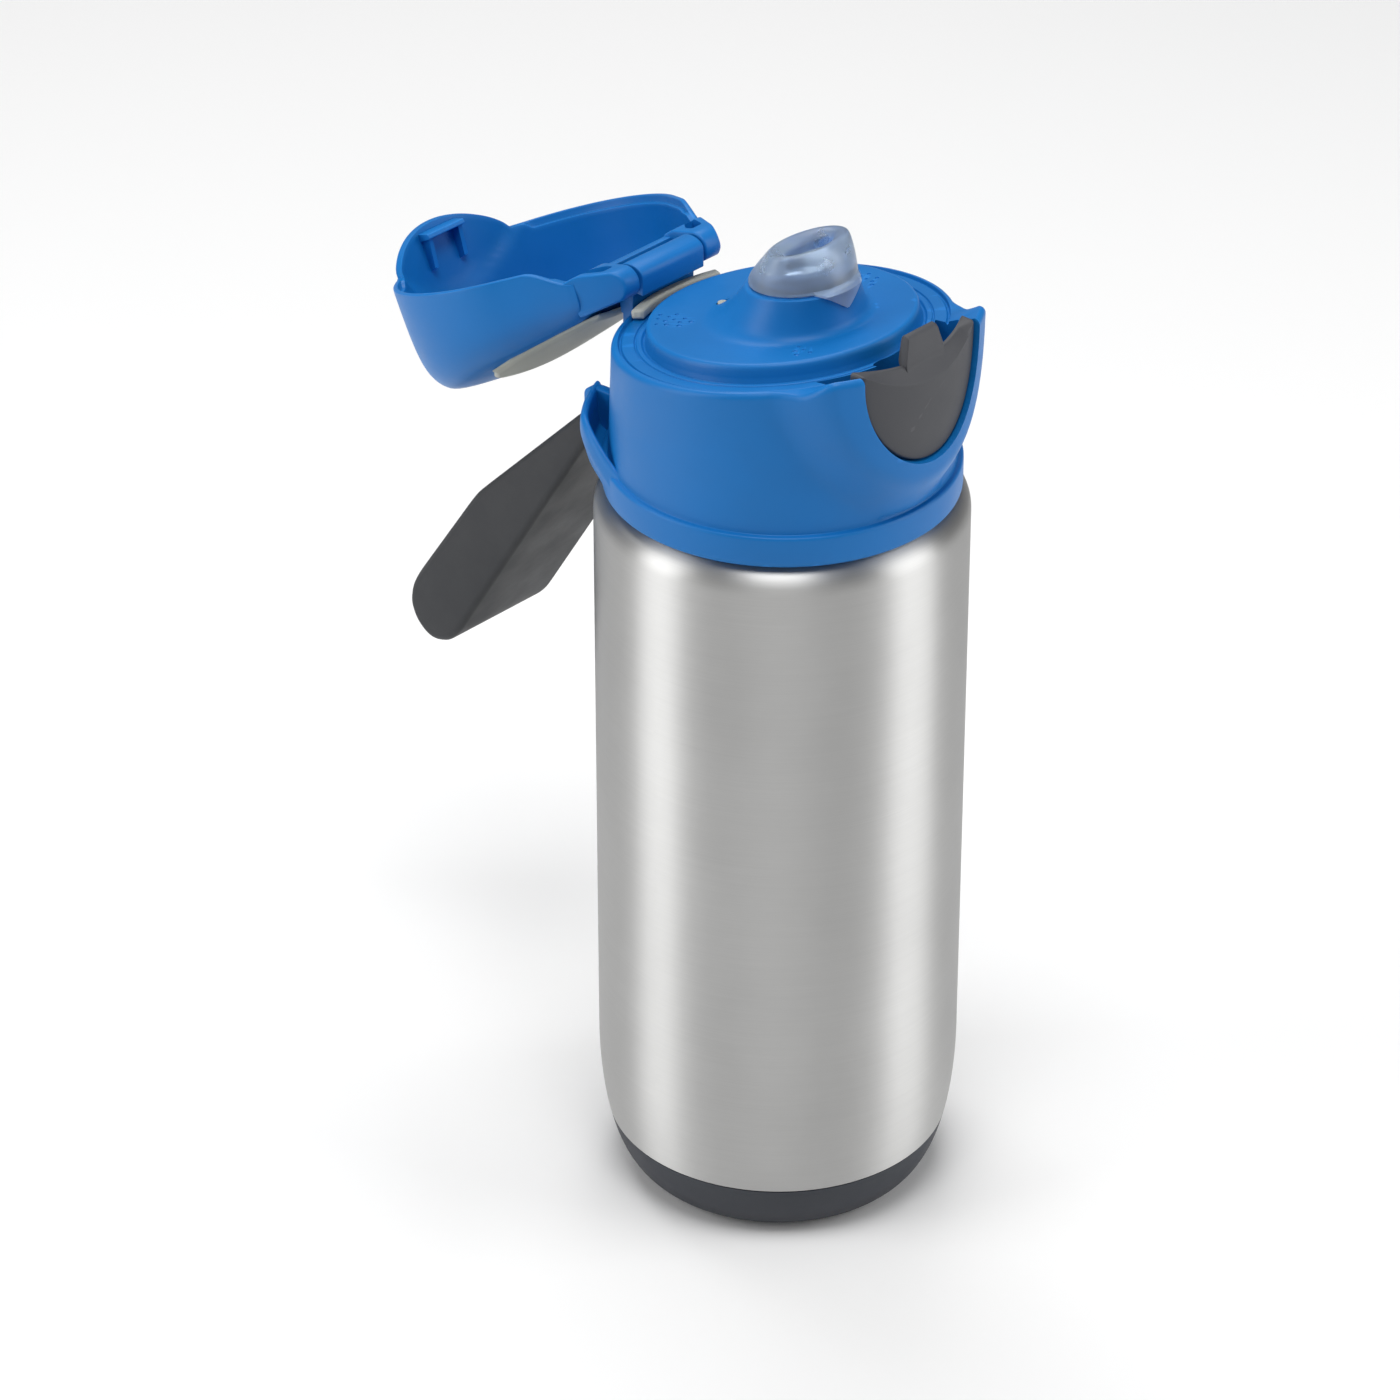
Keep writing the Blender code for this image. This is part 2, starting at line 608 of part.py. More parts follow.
def make_button_spring():
    """Bowed leaf spring between the pocket floor and the button."""
    outline = []
    for i in range(9):
        along = i / 8.0
        outline.append((-33.55 - 1.0 * math.sin(math.pi * along), 178.6 + 5.2 * along))
    back = [(y + 0.25, z) for y, z in reversed(outline)]
    prism("button_spring", outline + back, -3.5, 3.5, STEEL_GREY)


# ---------------------------------------------------------------- cap

def cap_point(s, x, h):
    """World point from the open cap's own axes: s away from the hinge, h above."""
    y = CAP_AXIS_Y + s * math.cos(CAP_SLOPE) + h * math.sin(CAP_SLOPE)
    z = CAP_AXIS_Z - s * math.sin(CAP_SLOPE) + h * math.cos(CAP_SLOPE)
    return Vector((x, y, z))


def cap_plane(s, h):
    point = cap_point(s, 0.0, h)
    return point.y, point.z


def cap_reach(angle, radius, back):
    """Distance from the cap's centre to its outline: a circle joined to the hinge."""
    neck = 15.4
    span = math.hypot(CAP_CENTRE, neck)
    tangent = math.atan2(neck, -CAP_CENTRE) - math.acos(CAP_RADIUS / span)
    turn = abs((angle + math.pi) % (2.0 * math.pi) - math.pi)
    reach = radius
    if turn > tangent:
        reach = radius / max(math.cos(turn - tangent), 0.3)
    if math.cos(turn) < 0.0:
        reach = min(reach, (CAP_CENTRE - back) / -math.cos(turn))
    return reach


def cap_crown(s, x):
    """Depth of the cap's outer top below the hinge axis plane."""
    middle = interpolate(((0.0, 4.9), (10.0, 7.4), (20.0, 10.6), (30.0, 13.9), (40.0, 16.9),
                          (48.0, 18.4), (56.0, 18.9), (70.0, 18.6)), s)
    return middle - 3.6 * (x / 26.0) ** 2


def cap_rim(s, x):
    """Height of the rim: raised as a tongue in front, lowered beside the hinge."""
    height = CAP_RIM
    half = TONGUE_HALF_WIDTH
    if s > CAP_CENTRE and abs(x) < half:
        height += TONGUE_HEIGHT * (1.0 - (x / half) ** 2) ** 0.7
    if s < 14.0:
        height -= 3.9 * smooth((14.0 - s) / 4.5)
    return height


def cap_angles():
    """Even angles, shifted to put two columns at each end of the tongue."""
    shift = {30: 28.4, 38: 31.2}
    result = []
    for angle in angles():
        degrees = math.degrees(angle)
        turn = degrees if degrees <= 180.0 else degrees - 360.0
        moved = shift.get(round(abs(turn)), abs(turn))
        result.append(math.radians(math.copysign(moved, turn)))
    return result


def tongue_bulge(s, x, h):
    """How far the front of the cap stands out around its tongue."""
    if s < CAP_CENTRE:
        return 0.0
    top = CAP_RIM + TONGUE_HEIGHT
    reach = math.hypot(x / 15.2, (top - h) / 13.0)
    return smooth((1.3 - reach) / 0.3)


def cap_shell(radius, back, inset, steps):
    """Rings of the cap from its rim over the wall to the middle of the top."""
    rings = []
    for spread, drop in steps:
        ring = []
        for angle in cap_angles():
            full = cap_reach(angle, radius, back)
            edge_s = CAP_CENTRE + full * math.cos(angle)
            edge_x = full * math.sin(angle)
            s = CAP_CENTRE + spread * full * math.cos(angle)
            x = spread * full * math.sin(angle)
            rim = cap_rim(edge_s, edge_x)
            h = rim + (inset - cap_crown(s, x) - rim) * drop
            push = tongue_bulge(edge_s, edge_x, h) * spread
            ring.append(cap_point(s + push * math.cos(angle), x + push * math.sin(angle), h))
        rings.append(ring)
    return rings


def make_cap():
    """Dome that folds over the spout, with two hinge ears."""
    steps = ((1.0, 0.0), (0.995, 0.25), (0.985, 0.5), (0.965, 0.7), (0.93, 0.84),
             (0.87, 0.94), (0.78, 0.99), (0.55, 1.0), (0.28, 1.0))
    outer = cap_shell(CAP_RADIUS, CAP_BACK, 0.0, steps)
    inner = cap_shell(CAP_RADIUS - CAP_WALL, CAP_BACK + CAP_WALL, CAP_WALL, steps)
    outer.append([cap_point(CAP_CENTRE, 0.0, -cap_crown(CAP_CENTRE, 0.0))])
    inner.append([cap_point(CAP_CENTRE, 0.0, CAP_WALL - cap_crown(CAP_CENTRE, 0.0))])
    rings = list(reversed(outer)) + inner
    cap = loft("flip_cap", rings, LID_BLUE)
    ear = arc((-0.5, 0.0), 3.2, 100.0, 245.0, 10) + [(7.4, -5.4), (7.4, 3.1), (4.6, 3.9)]
    for side in (-1.0, 1.0):
        face = [cap_point(s, side * 9.2, h) for s, h in ear]
        flank = [cap_point(s, side * (15.3 + 0.545 * s), h) for s, h in ear]
        combine(cap, loft("ear_form", [face, flank], None), "UNION")
    ledge = [(58.9, 11.0), (62.6, 10.6), (62.6, 12.2), (59.1, 12.0)]
    combine(cap, prism("ledge_form", ledge, -5.0, 5.0, None, cap_plane), "UNION")
    combine(cap, rod("ear_bore", PIN_RADIUS + 0.08, (-13.5, CAP_AXIS_Y, CAP_AXIS_Z),
                     (13.5, CAP_AXIS_Y, CAP_AXIS_Z), None), "DIFFERENCE")


def make_cap_inlay():
    """Soft pale strip on the back half of the cap's top."""
    start = 6.0
    end = 37.0
    columns = 8
    rows = 8
    layers = []
    for depth in (GAP, 1.5):
        for i in range(rows + 1):
            s = start + (end - start) * i / rows
            half = min(13.5 + 0.36 * (s - start), 21.0)
            row = []
            for j in range(columns + 1):
                x = half * (2.0 * j / columns - 1.0)
                bow = 3.0 * (1.0 - (x / half) ** 2) * i / rows
                row.append(cap_point(s + bow, x, -cap_crown(s + bow, x) - depth))
            layers.append(row)
    builder = bmesh.new()
    grids = [[[builder.verts.new(p * MM) for p in row] for row in layers[:rows + 1]],
             [[builder.verts.new(p * MM) for p in row] for row in layers[rows + 1:]]]
    for grid in grids:
        for i in range(rows):
            for j in range(columns):
                builder.faces.new((grid[i][j], grid[i + 1][j], grid[i + 1][j + 1], grid[i][j + 1]))
    border = [(i, 0) for i in range(rows)] + [(rows, j) for j in range(columns)]
    border += [(i, columns) for i in range(rows, 0, -1)] + [(0, j) for j in range(columns, 0, -1)]
    for (i, j), (k, m) in zip(border, border[1:] + border[:1]):
        builder.faces.new((grids[0][i][j], grids[0][k][m], grids[1][k][m], grids[1][i][j]))
    from_bmesh("cap_inlay", builder, PALE_SILICONE)


# ---------------------------------------------------------------- handle

def handle_plane(a, b):
    """World (y, z) from the handle's own axes: a along it, b outwards."""
    y = HANDLE_AXIS_Y + a * math.cos(HANDLE_SLOPE) + b * math.sin(HANDLE_SLOPE)
    z = HANDLE_AXIS_Z - a * math.sin(HANDLE_SLOPE) + b * math.cos(HANDLE_SLOPE)
    return y, z


def make_handle():
    """Paddle-shaped carry handle with moulded trunnions and a hollow back."""
    outline = arc((0.0, 0.0), HANDLE_ROOT, 90.0, 270.0, 8)
    outline += [(4.0, -1.4), (12.0, -1.0), (79.0, -1.0), (83.0, 0.0), (86.0, 2.6), (86.8, 5.4),
                (86.2, 9.0), (84.0, 12.0), (80.4, 13.6), (76.4, 14.0), (45.9, 12.9),
                (42.4, 12.2), (4.6, 3.6)]
    handle = prism("handle", outline, -HANDLE_HALF_WIDTH, HANDLE_HALF_WIDTH, DARK_GREY,
                   handle_plane)
    bevel = handle.modifiers.new("edges", "BEVEL")
    bevel.width = 1.6 * MM
    bevel.segments = 2
    bevel.limit_method = "ANGLE"
    bevel.angle_limit = math.radians(60)
    notch = [(-4.0, -4.0), (6.6, -4.0), (6.6, 8.0), (-4.0, 8.0)]
    combine(handle, prism("root_notch", notch, -9.6, 9.6, None, handle_plane), "DIFFERENCE")
    hollow = [(34.0, 7.5), (38.0, 4.2), (70.0, 3.6), (76.0, 6.6), (77.0, 20.0), (33.0, 20.0)]
    combine(handle, prism("grip_hollow", hollow, -9.4, 9.4, None, handle_plane), "DIFFERENCE")
    for side in (-1.0, 1.0):
        start = (side * 11.5, HANDLE_AXIS_Y, HANDLE_AXIS_Z)
        end = (side * 17.2, HANDLE_AXIS_Y, HANDLE_AXIS_Z)
        combine(handle, rod("handle_trunnion_form", 1.25, start, end, None), "UNION")


def clear_scene():
    for obj in list(bpy.data.objects):
        bpy.data.objects.remove(obj)


def main():
    global parts, cutters
    clear_scene()
    parts = bpy.data.collections.new("drinking_bottle")
    cutters = bpy.data.collections.new("cutters")
    for collection in (parts, cutters):
        bpy.context.scene.collection.children.link(collection)
    make_bumper()
    make_base_cup()
    make_outer_shell()
    make_inner_flask()
    make_lid_body()
    make_lid_insert()
    make_hinge_parts()
    make_spout()
    make_vent_valve()
    make_button()
    make_button_spring()
    make_cap()
    make_cap_inlay()
    make_handle()


main()
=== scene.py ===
"""Looks for the insulated drinking bottle: fine surfaces, materials, light and camera."""

import math

import bmesh
import bpy
from mathutils import Matrix, Vector


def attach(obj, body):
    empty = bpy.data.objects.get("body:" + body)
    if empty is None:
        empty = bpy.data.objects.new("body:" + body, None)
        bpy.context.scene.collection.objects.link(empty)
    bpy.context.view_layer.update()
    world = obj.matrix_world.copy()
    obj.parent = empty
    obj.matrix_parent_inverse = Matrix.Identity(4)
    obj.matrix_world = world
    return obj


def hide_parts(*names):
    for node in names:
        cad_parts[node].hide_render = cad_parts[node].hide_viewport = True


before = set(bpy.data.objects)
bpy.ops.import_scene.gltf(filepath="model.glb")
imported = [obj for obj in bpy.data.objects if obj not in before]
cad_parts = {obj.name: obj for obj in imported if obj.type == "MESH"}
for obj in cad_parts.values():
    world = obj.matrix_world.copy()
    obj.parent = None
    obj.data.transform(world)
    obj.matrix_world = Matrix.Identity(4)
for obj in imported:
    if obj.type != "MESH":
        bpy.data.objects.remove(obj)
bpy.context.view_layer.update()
MM = 0.001


# ------------------------------------------------------------- materials

class Nodes:
    """Small helper that builds a node tree in code."""

    def __init__(self, name):
        self.material = bpy.data.materials.new(name)
        self.material.use_nodes = True
        self.tree = self.material.node_tree
        self.shader = self.tree.nodes["Principled BSDF"]

    def add(self, kind, **values):
        node = self.tree.nodes.new(kind)
        for key, value in values.items():
            if key in node.inputs:
                self.feed(node.inputs[key], value)
            else:
                setattr(node, key, value)
        return node

    def feed(self, socket, value):
        if isinstance(value, bpy.types.NodeSocket):
            self.tree.links.new(value, socket)
        else:
            socket.default_value = value

    def set(self, **values):
        for key, value in values.items():
            self.feed(self.shader.inputs[key.replace("_", " ")], value)

    def place(self):
        return self.add("ShaderNodeTexCoord").outputs["Object"]

    def maths(self, operation, first, second=0.0, clamp=False):
        node = self.add("ShaderNodeMath", operation=operation, use_clamp=clamp)
        self.feed(node.inputs[0], first)
        self.feed(node.inputs[1], second)
        return node.outputs[0]

    def noise(self, vector, scale, detail=4.0, roughness=0.55):
        node = self.add("ShaderNodeTexNoise", Scale=scale, Detail=detail, Roughness=roughness)
        self.feed(node.inputs["Vector"], vector)
        return node.outputs["Fac"]

    def ramp(self, value, low, high, start=0.0, end=1.0):
        node = self.add("ShaderNodeMapRange", clamp=True)
        for socket, number in zip(node.inputs, (value, start, end, low, high)):
            self.feed(socket, number)
        return node.outputs[0]

    def blend(self, share, first, second):
        node = self.add("ShaderNodeMix", data_type="RGBA")
        self.feed(node.inputs[0], share)
        self.feed(node.inputs[6], first)
        self.feed(node.inputs[7], second)
        return node.outputs[2]

    def bump(self, height, strength, distance, normal=None):
        node = self.add("ShaderNodeBump", Strength=strength, Distance=distance)
        self.feed(node.inputs["Height"], height)
        if normal is not None:
            self.feed(node.inputs["Normal"], normal)
        return node.outputs["Normal"]


def moulded(name, colour, roughness=0.36, grain=0.05, grain_size=0.00035, shine=0.5):
    """Injection-moulded plastic: fine texture, slow colour drift, and a painted highlight that
    lightens convex edges.
    """
    nodes = Nodes(name)
    place = nodes.place()
    drift = nodes.noise(place, 45.0, detail=3.0)
    fine = nodes.noise(place, 1.0 / grain_size, detail=2.0, roughness=0.7)
    # Painted highlight: pointiness finds the convex edges, and they are lightened in the base
    # colour.
    convexity = nodes.add("ShaderNodeNewGeometry").outputs["Pointiness"]
    edge = nodes.ramp(convexity, 0.0, 1.0, 0.515, 0.6)
    dark = (*[c * 0.88 for c in colour], 1.0)
    light = (*[min(c * 1.08 + 0.002, 1.0) for c in colour], 1.0)
    base = nodes.blend(drift, dark, light)
    # Lighter colour painted onto convex edges as an edge highlight.
    edge_highlight = (*[min(c * 1.35 + 0.012, 1.0) for c in colour], 1.0)
    base = nodes.blend(nodes.maths("MULTIPLY", edge, 0.55), base, edge_highlight)
    nodes.set(Base_Color=base)
    smudge = nodes.noise(place, 90.0, detail=5.0, roughness=0.6)
    nodes.set(Roughness=nodes.ramp(smudge, roughness - 0.05, roughness + 0.08, 0.3, 0.7))
    nodes.set(Specular_IOR_Level=shine)
    nodes.set(Normal=nodes.bump(fine, grain, 0.0001))
    return nodes.material


def brushed_steel(name, tint=0.60, roughness=0.30, depth=0.25):
    """Stainless steel brushed around the bottle: fine rings of uneven scratches."""
    nodes = Nodes(name)
    place = nodes.place()
    split = nodes.add("ShaderNodeSeparateXYZ")
    nodes.feed(split.inputs[0], place)
    x, y, z = split.outputs
    turn = nodes.maths("ARCTAN2", y, x)
    join = nodes.add("ShaderNodeCombineXYZ")
    nodes.feed(join.inputs[0], nodes.maths("MULTIPLY", turn, 0.9))
    nodes.feed(join.inputs[1], nodes.maths("MULTIPLY", z, 6400.0))
    coarse = nodes.add("ShaderNodeCombineXYZ")
    nodes.feed(coarse.inputs[0], nodes.maths("MULTIPLY", turn, 1.6))
    nodes.feed(coarse.inputs[1], nodes.maths("MULTIPLY", z, 900.0))
    fine = nodes.noise(join.outputs[0], 1.0, detail=6.0, roughness=0.75)
    broad = nodes.noise(coarse.outputs[0], 1.0, detail=4.0, roughness=0.6)
    cloud = nodes.noise(place, 38.0, detail=3.0)
    both = nodes.maths("ADD", nodes.maths("MULTIPLY", fine, 0.75),
                       nodes.maths("MULTIPLY", broad, 0.25))
    shade = nodes.ramp(both, tint - 0.035, tint + 0.035, 0.3, 0.7)
    shade = nodes.maths("MULTIPLY", shade, nodes.ramp(cloud, 0.97, 1.03, 0.3, 0.7))
    colour = nodes.add("ShaderNodeCombineColor")
    nodes.feed(colour.inputs[0], shade)
    nodes.feed(colour.inputs[1], nodes.maths("MULTIPLY", shade, 0.998))
    nodes.feed(colour.inputs[2], nodes.maths("MULTIPLY", shade, 0.985))
    nodes.set(Base_Color=colour.outputs[0], Metallic=1.0)
    nodes.set(Roughness=nodes.ramp(both, roughness - 0.03, roughness + 0.05, 0.3, 0.7))
    nodes.set(Anisotropic=0.9, Anisotropic_Rotation=0.25)
    tangent = nodes.add("ShaderNodeTangent", direction_type="RADIAL", axis="Z")
    nodes.feed(nodes.shader.inputs["Tangent"], tangent.outputs[0])
    nodes.set(Normal=nodes.bump(both, depth, 0.00002))
    return nodes.material


def silicone(name, colour, clear=0.0, roughness=0.45):
    """Soft silicone: cloudy, slightly translucent, with dust and flow marks."""
    nodes = Nodes(name)
    place = nodes.place()
    cloud = nodes.noise(place, 140.0, detail=4.0)
    fine = nodes.noise(place, 2600.0, detail=2.0)
    low = (*[c * 0.92 for c in colour], 1.0)
    high = (*[min(c * 1.05, 1.0) for c in colour], 1.0)
    nodes.set(Base_Color=nodes.blend(cloud, low, high))
    nodes.set(Roughness=nodes.ramp(cloud, roughness - 0.06, roughness + 0.06, 0.3, 0.7))
    nodes.set(Transmission_Weight=clear, IOR=1.41)
    if clear < 0.1:
        nodes.set(Subsurface_Weight=0.25, Subsurface_Scale=0.004)
        nodes.set(Subsurface_Radius=(1.0, 1.0, 1.0))
    nodes.set(Normal=nodes.bump(fine, 0.05, 0.0001))
    return nodes.material


BLUE = moulded("satin_blue", (0.003, 0.155, 0.475), roughness=0.40, shine=0.28)
CHARCOAL = moulded("charcoal_plastic", (0.028, 0.030, 0.034), roughness=0.55, grain=0.12,
                   shine=0.32)
GREY = moulded("button_grey", (0.058, 0.060, 0.068), roughness=0.5, grain=0.12, shine=0.35)
RUBBER = moulded("bumper_rubber", (0.038, 0.042, 0.052), roughness=0.6, grain=0.15, shine=0.35)
STEEL = brushed_steel("brushed_wall", tint=0.55, roughness=0.46, depth=0.10)
PLAIN_STEEL = brushed_steel("drawn_steel", tint=0.5, roughness=0.36, depth=0.1)
CLEAR = silicone("clear_silicone", (0.55, 0.69, 0.88), clear=0.78, roughness=0.31)
PALE = silicone("pale_silicone", (0.40, 0.41, 0.36), roughness=0.5)
WHITE = moulded("white_plastic", (0.75, 0.75, 0.72), roughness=0.4)

NODE_LOOKS = {
    "base_bumper": RUBBER, "base_cup": PLAIN_STEEL, "getter": PLAIN_STEEL,
    "vacuum_seal": PLAIN_STEEL, "outer_shell": STEEL, "inner_flask": PLAIN_STEEL,
    "lid_gasket": PALE, "lid_body": BLUE, "lid_insert": WHITE, "spout": CLEAR,
    "spout_clip": WHITE, "vent_valve": PALE, "hinge_pin": PLAIN_STEEL, "hinge_pad": PALE,
    "button_spring": PLAIN_STEEL, "latch_button": GREY, "flip_cap": BLUE,
    "cap_inlay": PALE, "handle": CHARCOAL,
}


def dress_cad():
    """Give every carried-over CAD node its finish."""
    for name, look in NODE_LOOKS.items():
        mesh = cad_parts[name].data
        mesh.materials.clear()
        mesh.materials.append(look)
        mesh.shade_smooth()
        mesh.set_sharp_from_angle(angle=math.radians(32))


# ------------------------------------------------------------- shared sizes

BODY_RADIUS = 36.5
BODY_CURVE_HEIGHT = 32.0
FOOT_RADIUS = 24.0
BUMPER_TOP = 13.0
BUMPER_WALL = 1.8
SHOULDER_Z = 153.2
NECK_RADIUS = 24.6
NECK_TOP = 176.7
THREAD_PITCH = 4.5
LID_BOTTOM = 158.0
BAND_TOP = 164.4
BAND_RADIUS = 34.8
WALL_RADIUS = 33.5
TOP_RADIUS = 32.8
CAVITY_RADIUS = 31.2
CAVITY_TOP = 184.6
DECK_TILT = math.radians(8.5)
DECK_Z = 191.0
BUTTON_TOP = 198.5
BUTTON_HALF_WIDTH = 15.8
BUTTON_DEPTH = 20.0
BUTTON_SIDE = 1.5
HOUSING_RADIUS = 38.4
HOUSING_TOP = 198.4
BUTTON_AXIS = (-33.4, 185.5)
CAP_AXIS = (32.2, 193.0)
CAP_SLOPE = math.radians(23.2)
CAP_RADIUS = 29.6
CAP_CENTRE = 33.6
CAP_RIM = 6.6
CAP_WALL = 1.9
CAP_BACK = 5.2
TONGUE_HALF_WIDTH = 14.6
TONGUE_HEIGHT = 7.1
PIN_RADIUS = 1.25
HANDLE_AXIS = (35.6, 164.3)
HANDLE_SLOPE = math.radians(57.5)
HANDLE_HALF_WIDTH = 13.8
BUTTON_TRUNNION = 0.9
HANDLE_TRUNNION = 1.25
DISC_TOP = 3.0
COLUMNS = 320
CAP_COLUMNS = 288


# ------------------------------------------------------------- mesh helpers

def smooth(value):
    """Ease from 0 to 1."""
    value = min(max(value, 0.0), 1.0)
    return value * value * (3.0 - 2.0 * value)


def angles(count):
    """Even angles round a full turn."""
    return [2.0 * math.pi * i / count for i in range(count)]


def soft(points, radius, closed=False, steps=5):
    """Round the corners of a polyline; a third value is that corner's own radius."""
    result = []
    count = len(points)
    for i, point in enumerate(points):
        own = point[2] if len(point) > 2 else radius
        here = Vector(point[:2])
        if own <= 0.0 or (not closed and i in (0, count - 1)):
            result.append(tuple(here))
            continue
        before = Vector(points[i - 1][:2]) - here
        after = Vector(points[(i + 1) % count][:2]) - here
        start = here + before.normalized() * min(own, before.length * 0.47)
        end = here + after.normalized() * min(own, after.length * 0.47)
        for k in range(steps + 1):
            t = k / steps
            bend = start * (1.0 - t) ** 2 + here * 2.0 * t * (1.0 - t) + end * t * t
            result.append(tuple(bend))
    return result


def flowing(points, per=4):
    """Smooth curve through the points, of any dimension."""
    rows = [Vector(p) for p in points]
    result = []
    for i in range(len(rows) - 1):
        before = rows[max(i - 1, 0)]
        after = rows[min(i + 2, len(rows) - 1)]
        first = (rows[i + 1] - before) * 0.5
        last = (after - rows[i]) * 0.5
        for k in range(per):
            t = k / per
            result.append(rows[i] * (2 * t ** 3 - 3 * t ** 2 + 1)
                          + first * (t ** 3 - 2 * t ** 2 + t)
                          + rows[i + 1] * (3 * t ** 2 - 2 * t ** 3)
                          + last * (t ** 3 - t ** 2))
    result.append(rows[-1])
    return [tuple(p) for p in result]


def arc(centre, radius, first, last, count):
    """Points on an arc, angles in degrees."""
    points = []
    for i in range(count + 1):
        angle = math.radians(first + (last - first) * i / count)
        points.append((centre[0] + radius * math.cos(angle), centre[1] + radius * math.sin(angle)))
    return points


def from_bmesh(name, builder):
    bmesh.ops.remove_doubles(builder, verts=builder.verts, dist=0.000002)
    bmesh.ops.recalc_face_normals(builder, faces=builder.faces)
    mesh = bpy.data.meshes.new(name)
    builder.to_mesh(mesh)
    builder.free()
    obj = bpy.data.objects.new(name, mesh)
    bpy.context.scene.collection.objects.link(obj)
    return obj


def skin(name, rings, loop=False):
    """Skin a list of closed rings of points; a ring of one point is a pole."""
    builder = bmesh.new()
    layers = [[builder.verts.new(p * MM) for p in ring] for ring in rings]
    pairs = list(zip(layers, layers[1:]))
    if loop:
        pairs.append((layers[-1], layers[0]))
    for lower, upper in pairs:
        count = max(len(lower), len(upper))
        for i in range(count):
            j = (i + 1) % count
            corners = []
            for layer, k in ((lower, i), (lower, j), (upper, j), (upper, i)):
                vertex = layer[k] if len(layer) > 1 else layer[0]
                if vertex not in corners:
                    corners.append(vertex)
            builder.faces.new(corners)
    if not loop:
        for layer in (layers[0], layers[-1]):
            if len(layer) > 1:
                builder.faces.new(layer)
    return from_bmesh(name, builder)


def lathe(name, profile, steps=240):
    """Turn an (r, z) profile about Z; it closes on itself unless it starts on the axis."""
    rings = []
    for radius, z in profile:
        if radius < 0.001:
            rings.append([Vector((0.0, 0.0, z))])
        else:
            rings.append([Vector((radius * math.cos(a), radius * math.sin(a), z))
                          for a in angles(steps)])
    return skin(name, rings, loop=profile[0][0] > 0.001)


def prism(name, outline, start, end, to_world=None, taper=None):
    """Extrude a (u, v) outline along X; taper scales X by a function of (u, v)."""
    sides = []
    for reach in (start, end):
        ring = []
        for u, v in outline:
            y, z = to_world(u, v) if to_world else (u, v)
            x = reach * (taper(u, v) if taper else 1.0)
            ring.append(Vector((x, y, z)))
        sides.append(ring)
    return skin(name, sides)


def rod(name, radius, start, end, sides=48):
    """Closed cylinder along a straight line."""
    line = Vector(end) - Vector(start)
    turn = line.to_track_quat("Z", "Y").to_matrix()
    rings = []
    for along in (0.0, 1.0):
        rings.append([Vector(start) + line * along
                      + turn @ Vector((radius * math.cos(a), radius * math.sin(a), 0.0))
                      for a in angles(sides)])
    return skin(name, rings)


def round_edges(obj, width, segments=3, limit=50.0):
    bevel = obj.modifiers.new("edges", "BEVEL")
    bevel.width = width * MM
    bevel.segments = segments
    bevel.limit_method = "ANGLE"
    bevel.angle_limit = math.radians(limit)
    bevel.use_clamp_overlap = True
    return obj


def settle(obj, add=(), cut=()):
    """Apply modifiers, then join and cut with other closed meshes, leaving one plain mesh."""
    for operation, others in (("UNION", add), ("DIFFERENCE", cut)):
        for other in others:
            modifier = obj.modifiers.new(other.name, "BOOLEAN")
            modifier.operation = operation
            modifier.solver = "MANIFOLD"
            modifier.object = other
    bpy.context.view_layer.update()
    graph = bpy.context.evaluated_depsgraph_get()
    mesh = bpy.data.meshes.new_from_object(obj.evaluated_get(graph), depsgraph=graph)
    obj.modifiers.clear()
    obj.data = mesh
    for other in list(add) + list(cut):
        bpy.data.objects.remove(other)
    mesh.name = obj.name
    return obj


def show(obj, look, body, node=None, limit=32.0):
    """Finish a piece: its material, its body and the CAD node it stands for."""
    obj.data.materials.clear()
    obj.data.materials.append(look)
    for face in obj.data.polygons:
        face.material_index = 0
    obj.data.shade_smooth()
    obj.data.set_sharp_from_angle(angle=math.radians(limit))
    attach(obj, body)
    if node:
        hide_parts(node)
    return obj


# ------------------------------------------------------------- bottle

def body_radius(z):
    """Outer radius of the body, drawn in towards the foot."""
    rise = 1.0 - min(z / BODY_CURVE_HEIGHT, 1.0)
    return FOOT_RADIUS + (BODY_RADIUS - FOOT_RADIUS) * (1.0 - rise * rise) ** 0.355


def make_bumper():
    """Soft boot over the foot, its upper lip rounded and its sole recessed."""
    heights = [0.35 + 11.9 * (i / 26.0) ** 1.5 for i in range(27)]
    inner = [(body_radius(z) - BUMPER_WALL, z) for z in (3.6, 4.4, 5.2, 6.2, 7.5, 10.0, 12.4)]
    lip_inner = body_radius(BUMPER_TOP) - BUMPER_WALL
    lip_outer = body_radius(BUMPER_TOP) - 0.02
    lip = [(lip_inner, 12.75), (lip_inner + 0.2, 12.95), (lip_outer - 0.5, 13.0),
           (lip_outer - 0.15, 12.88)]
    outer = [(body_radius(z) - 0.02, z) for z in reversed(heights)]
    foot = [(26.4, 0.02), (25.6, 0.0), (20.2, 0.0), (19.9, 0.1), (19.6, 0.6), (19.2, 0.7),
            (18.9, 0.6), (18.6, 0.1), (18.2, 0.0), (4.0, 0.0), (0.0, 0.0)]
    profile = [(0.0, 3.2), (4.0, 3.2), (24.0, 3.2)] + inner + lip + outer + foot
    boot = lathe("bumper_boot", profile, 256)
    show(boot, RUBBER, "bottle", "base_bumper", 40.0)


def hidden_radius(z):
    """Radius of the wall where the boot covers it."""
    return body_radius(z) - BUMPER_WALL - 0.3


def thread_ridge(name, root, crest, lift, steps=72):
    """One and a half turns of the neck's thread."""
    rings = []
    count = int(steps * 1.5)
    for i in range(count + 1):
        angle = 2.0 * math.pi * (i + 0.81) / steps
        z = 164.5 + lift + THREAD_PITCH * i / steps
        taper = min(1.0, 0.3 + 0.7 * smooth(min(i, count - i) / 10.0))
        tip = root + (crest - root) * taper
        section = ((root, -1.0), (tip - 0.3, -0.62), (tip, -0.35), (tip, 0.35),
                   (tip - 0.3, 0.62), (root, 1.0))
        rings.append([Vector((r * math.cos(angle), r * math.sin(angle), z + o))
                      for r, o in section])
    return skin(name, rings)


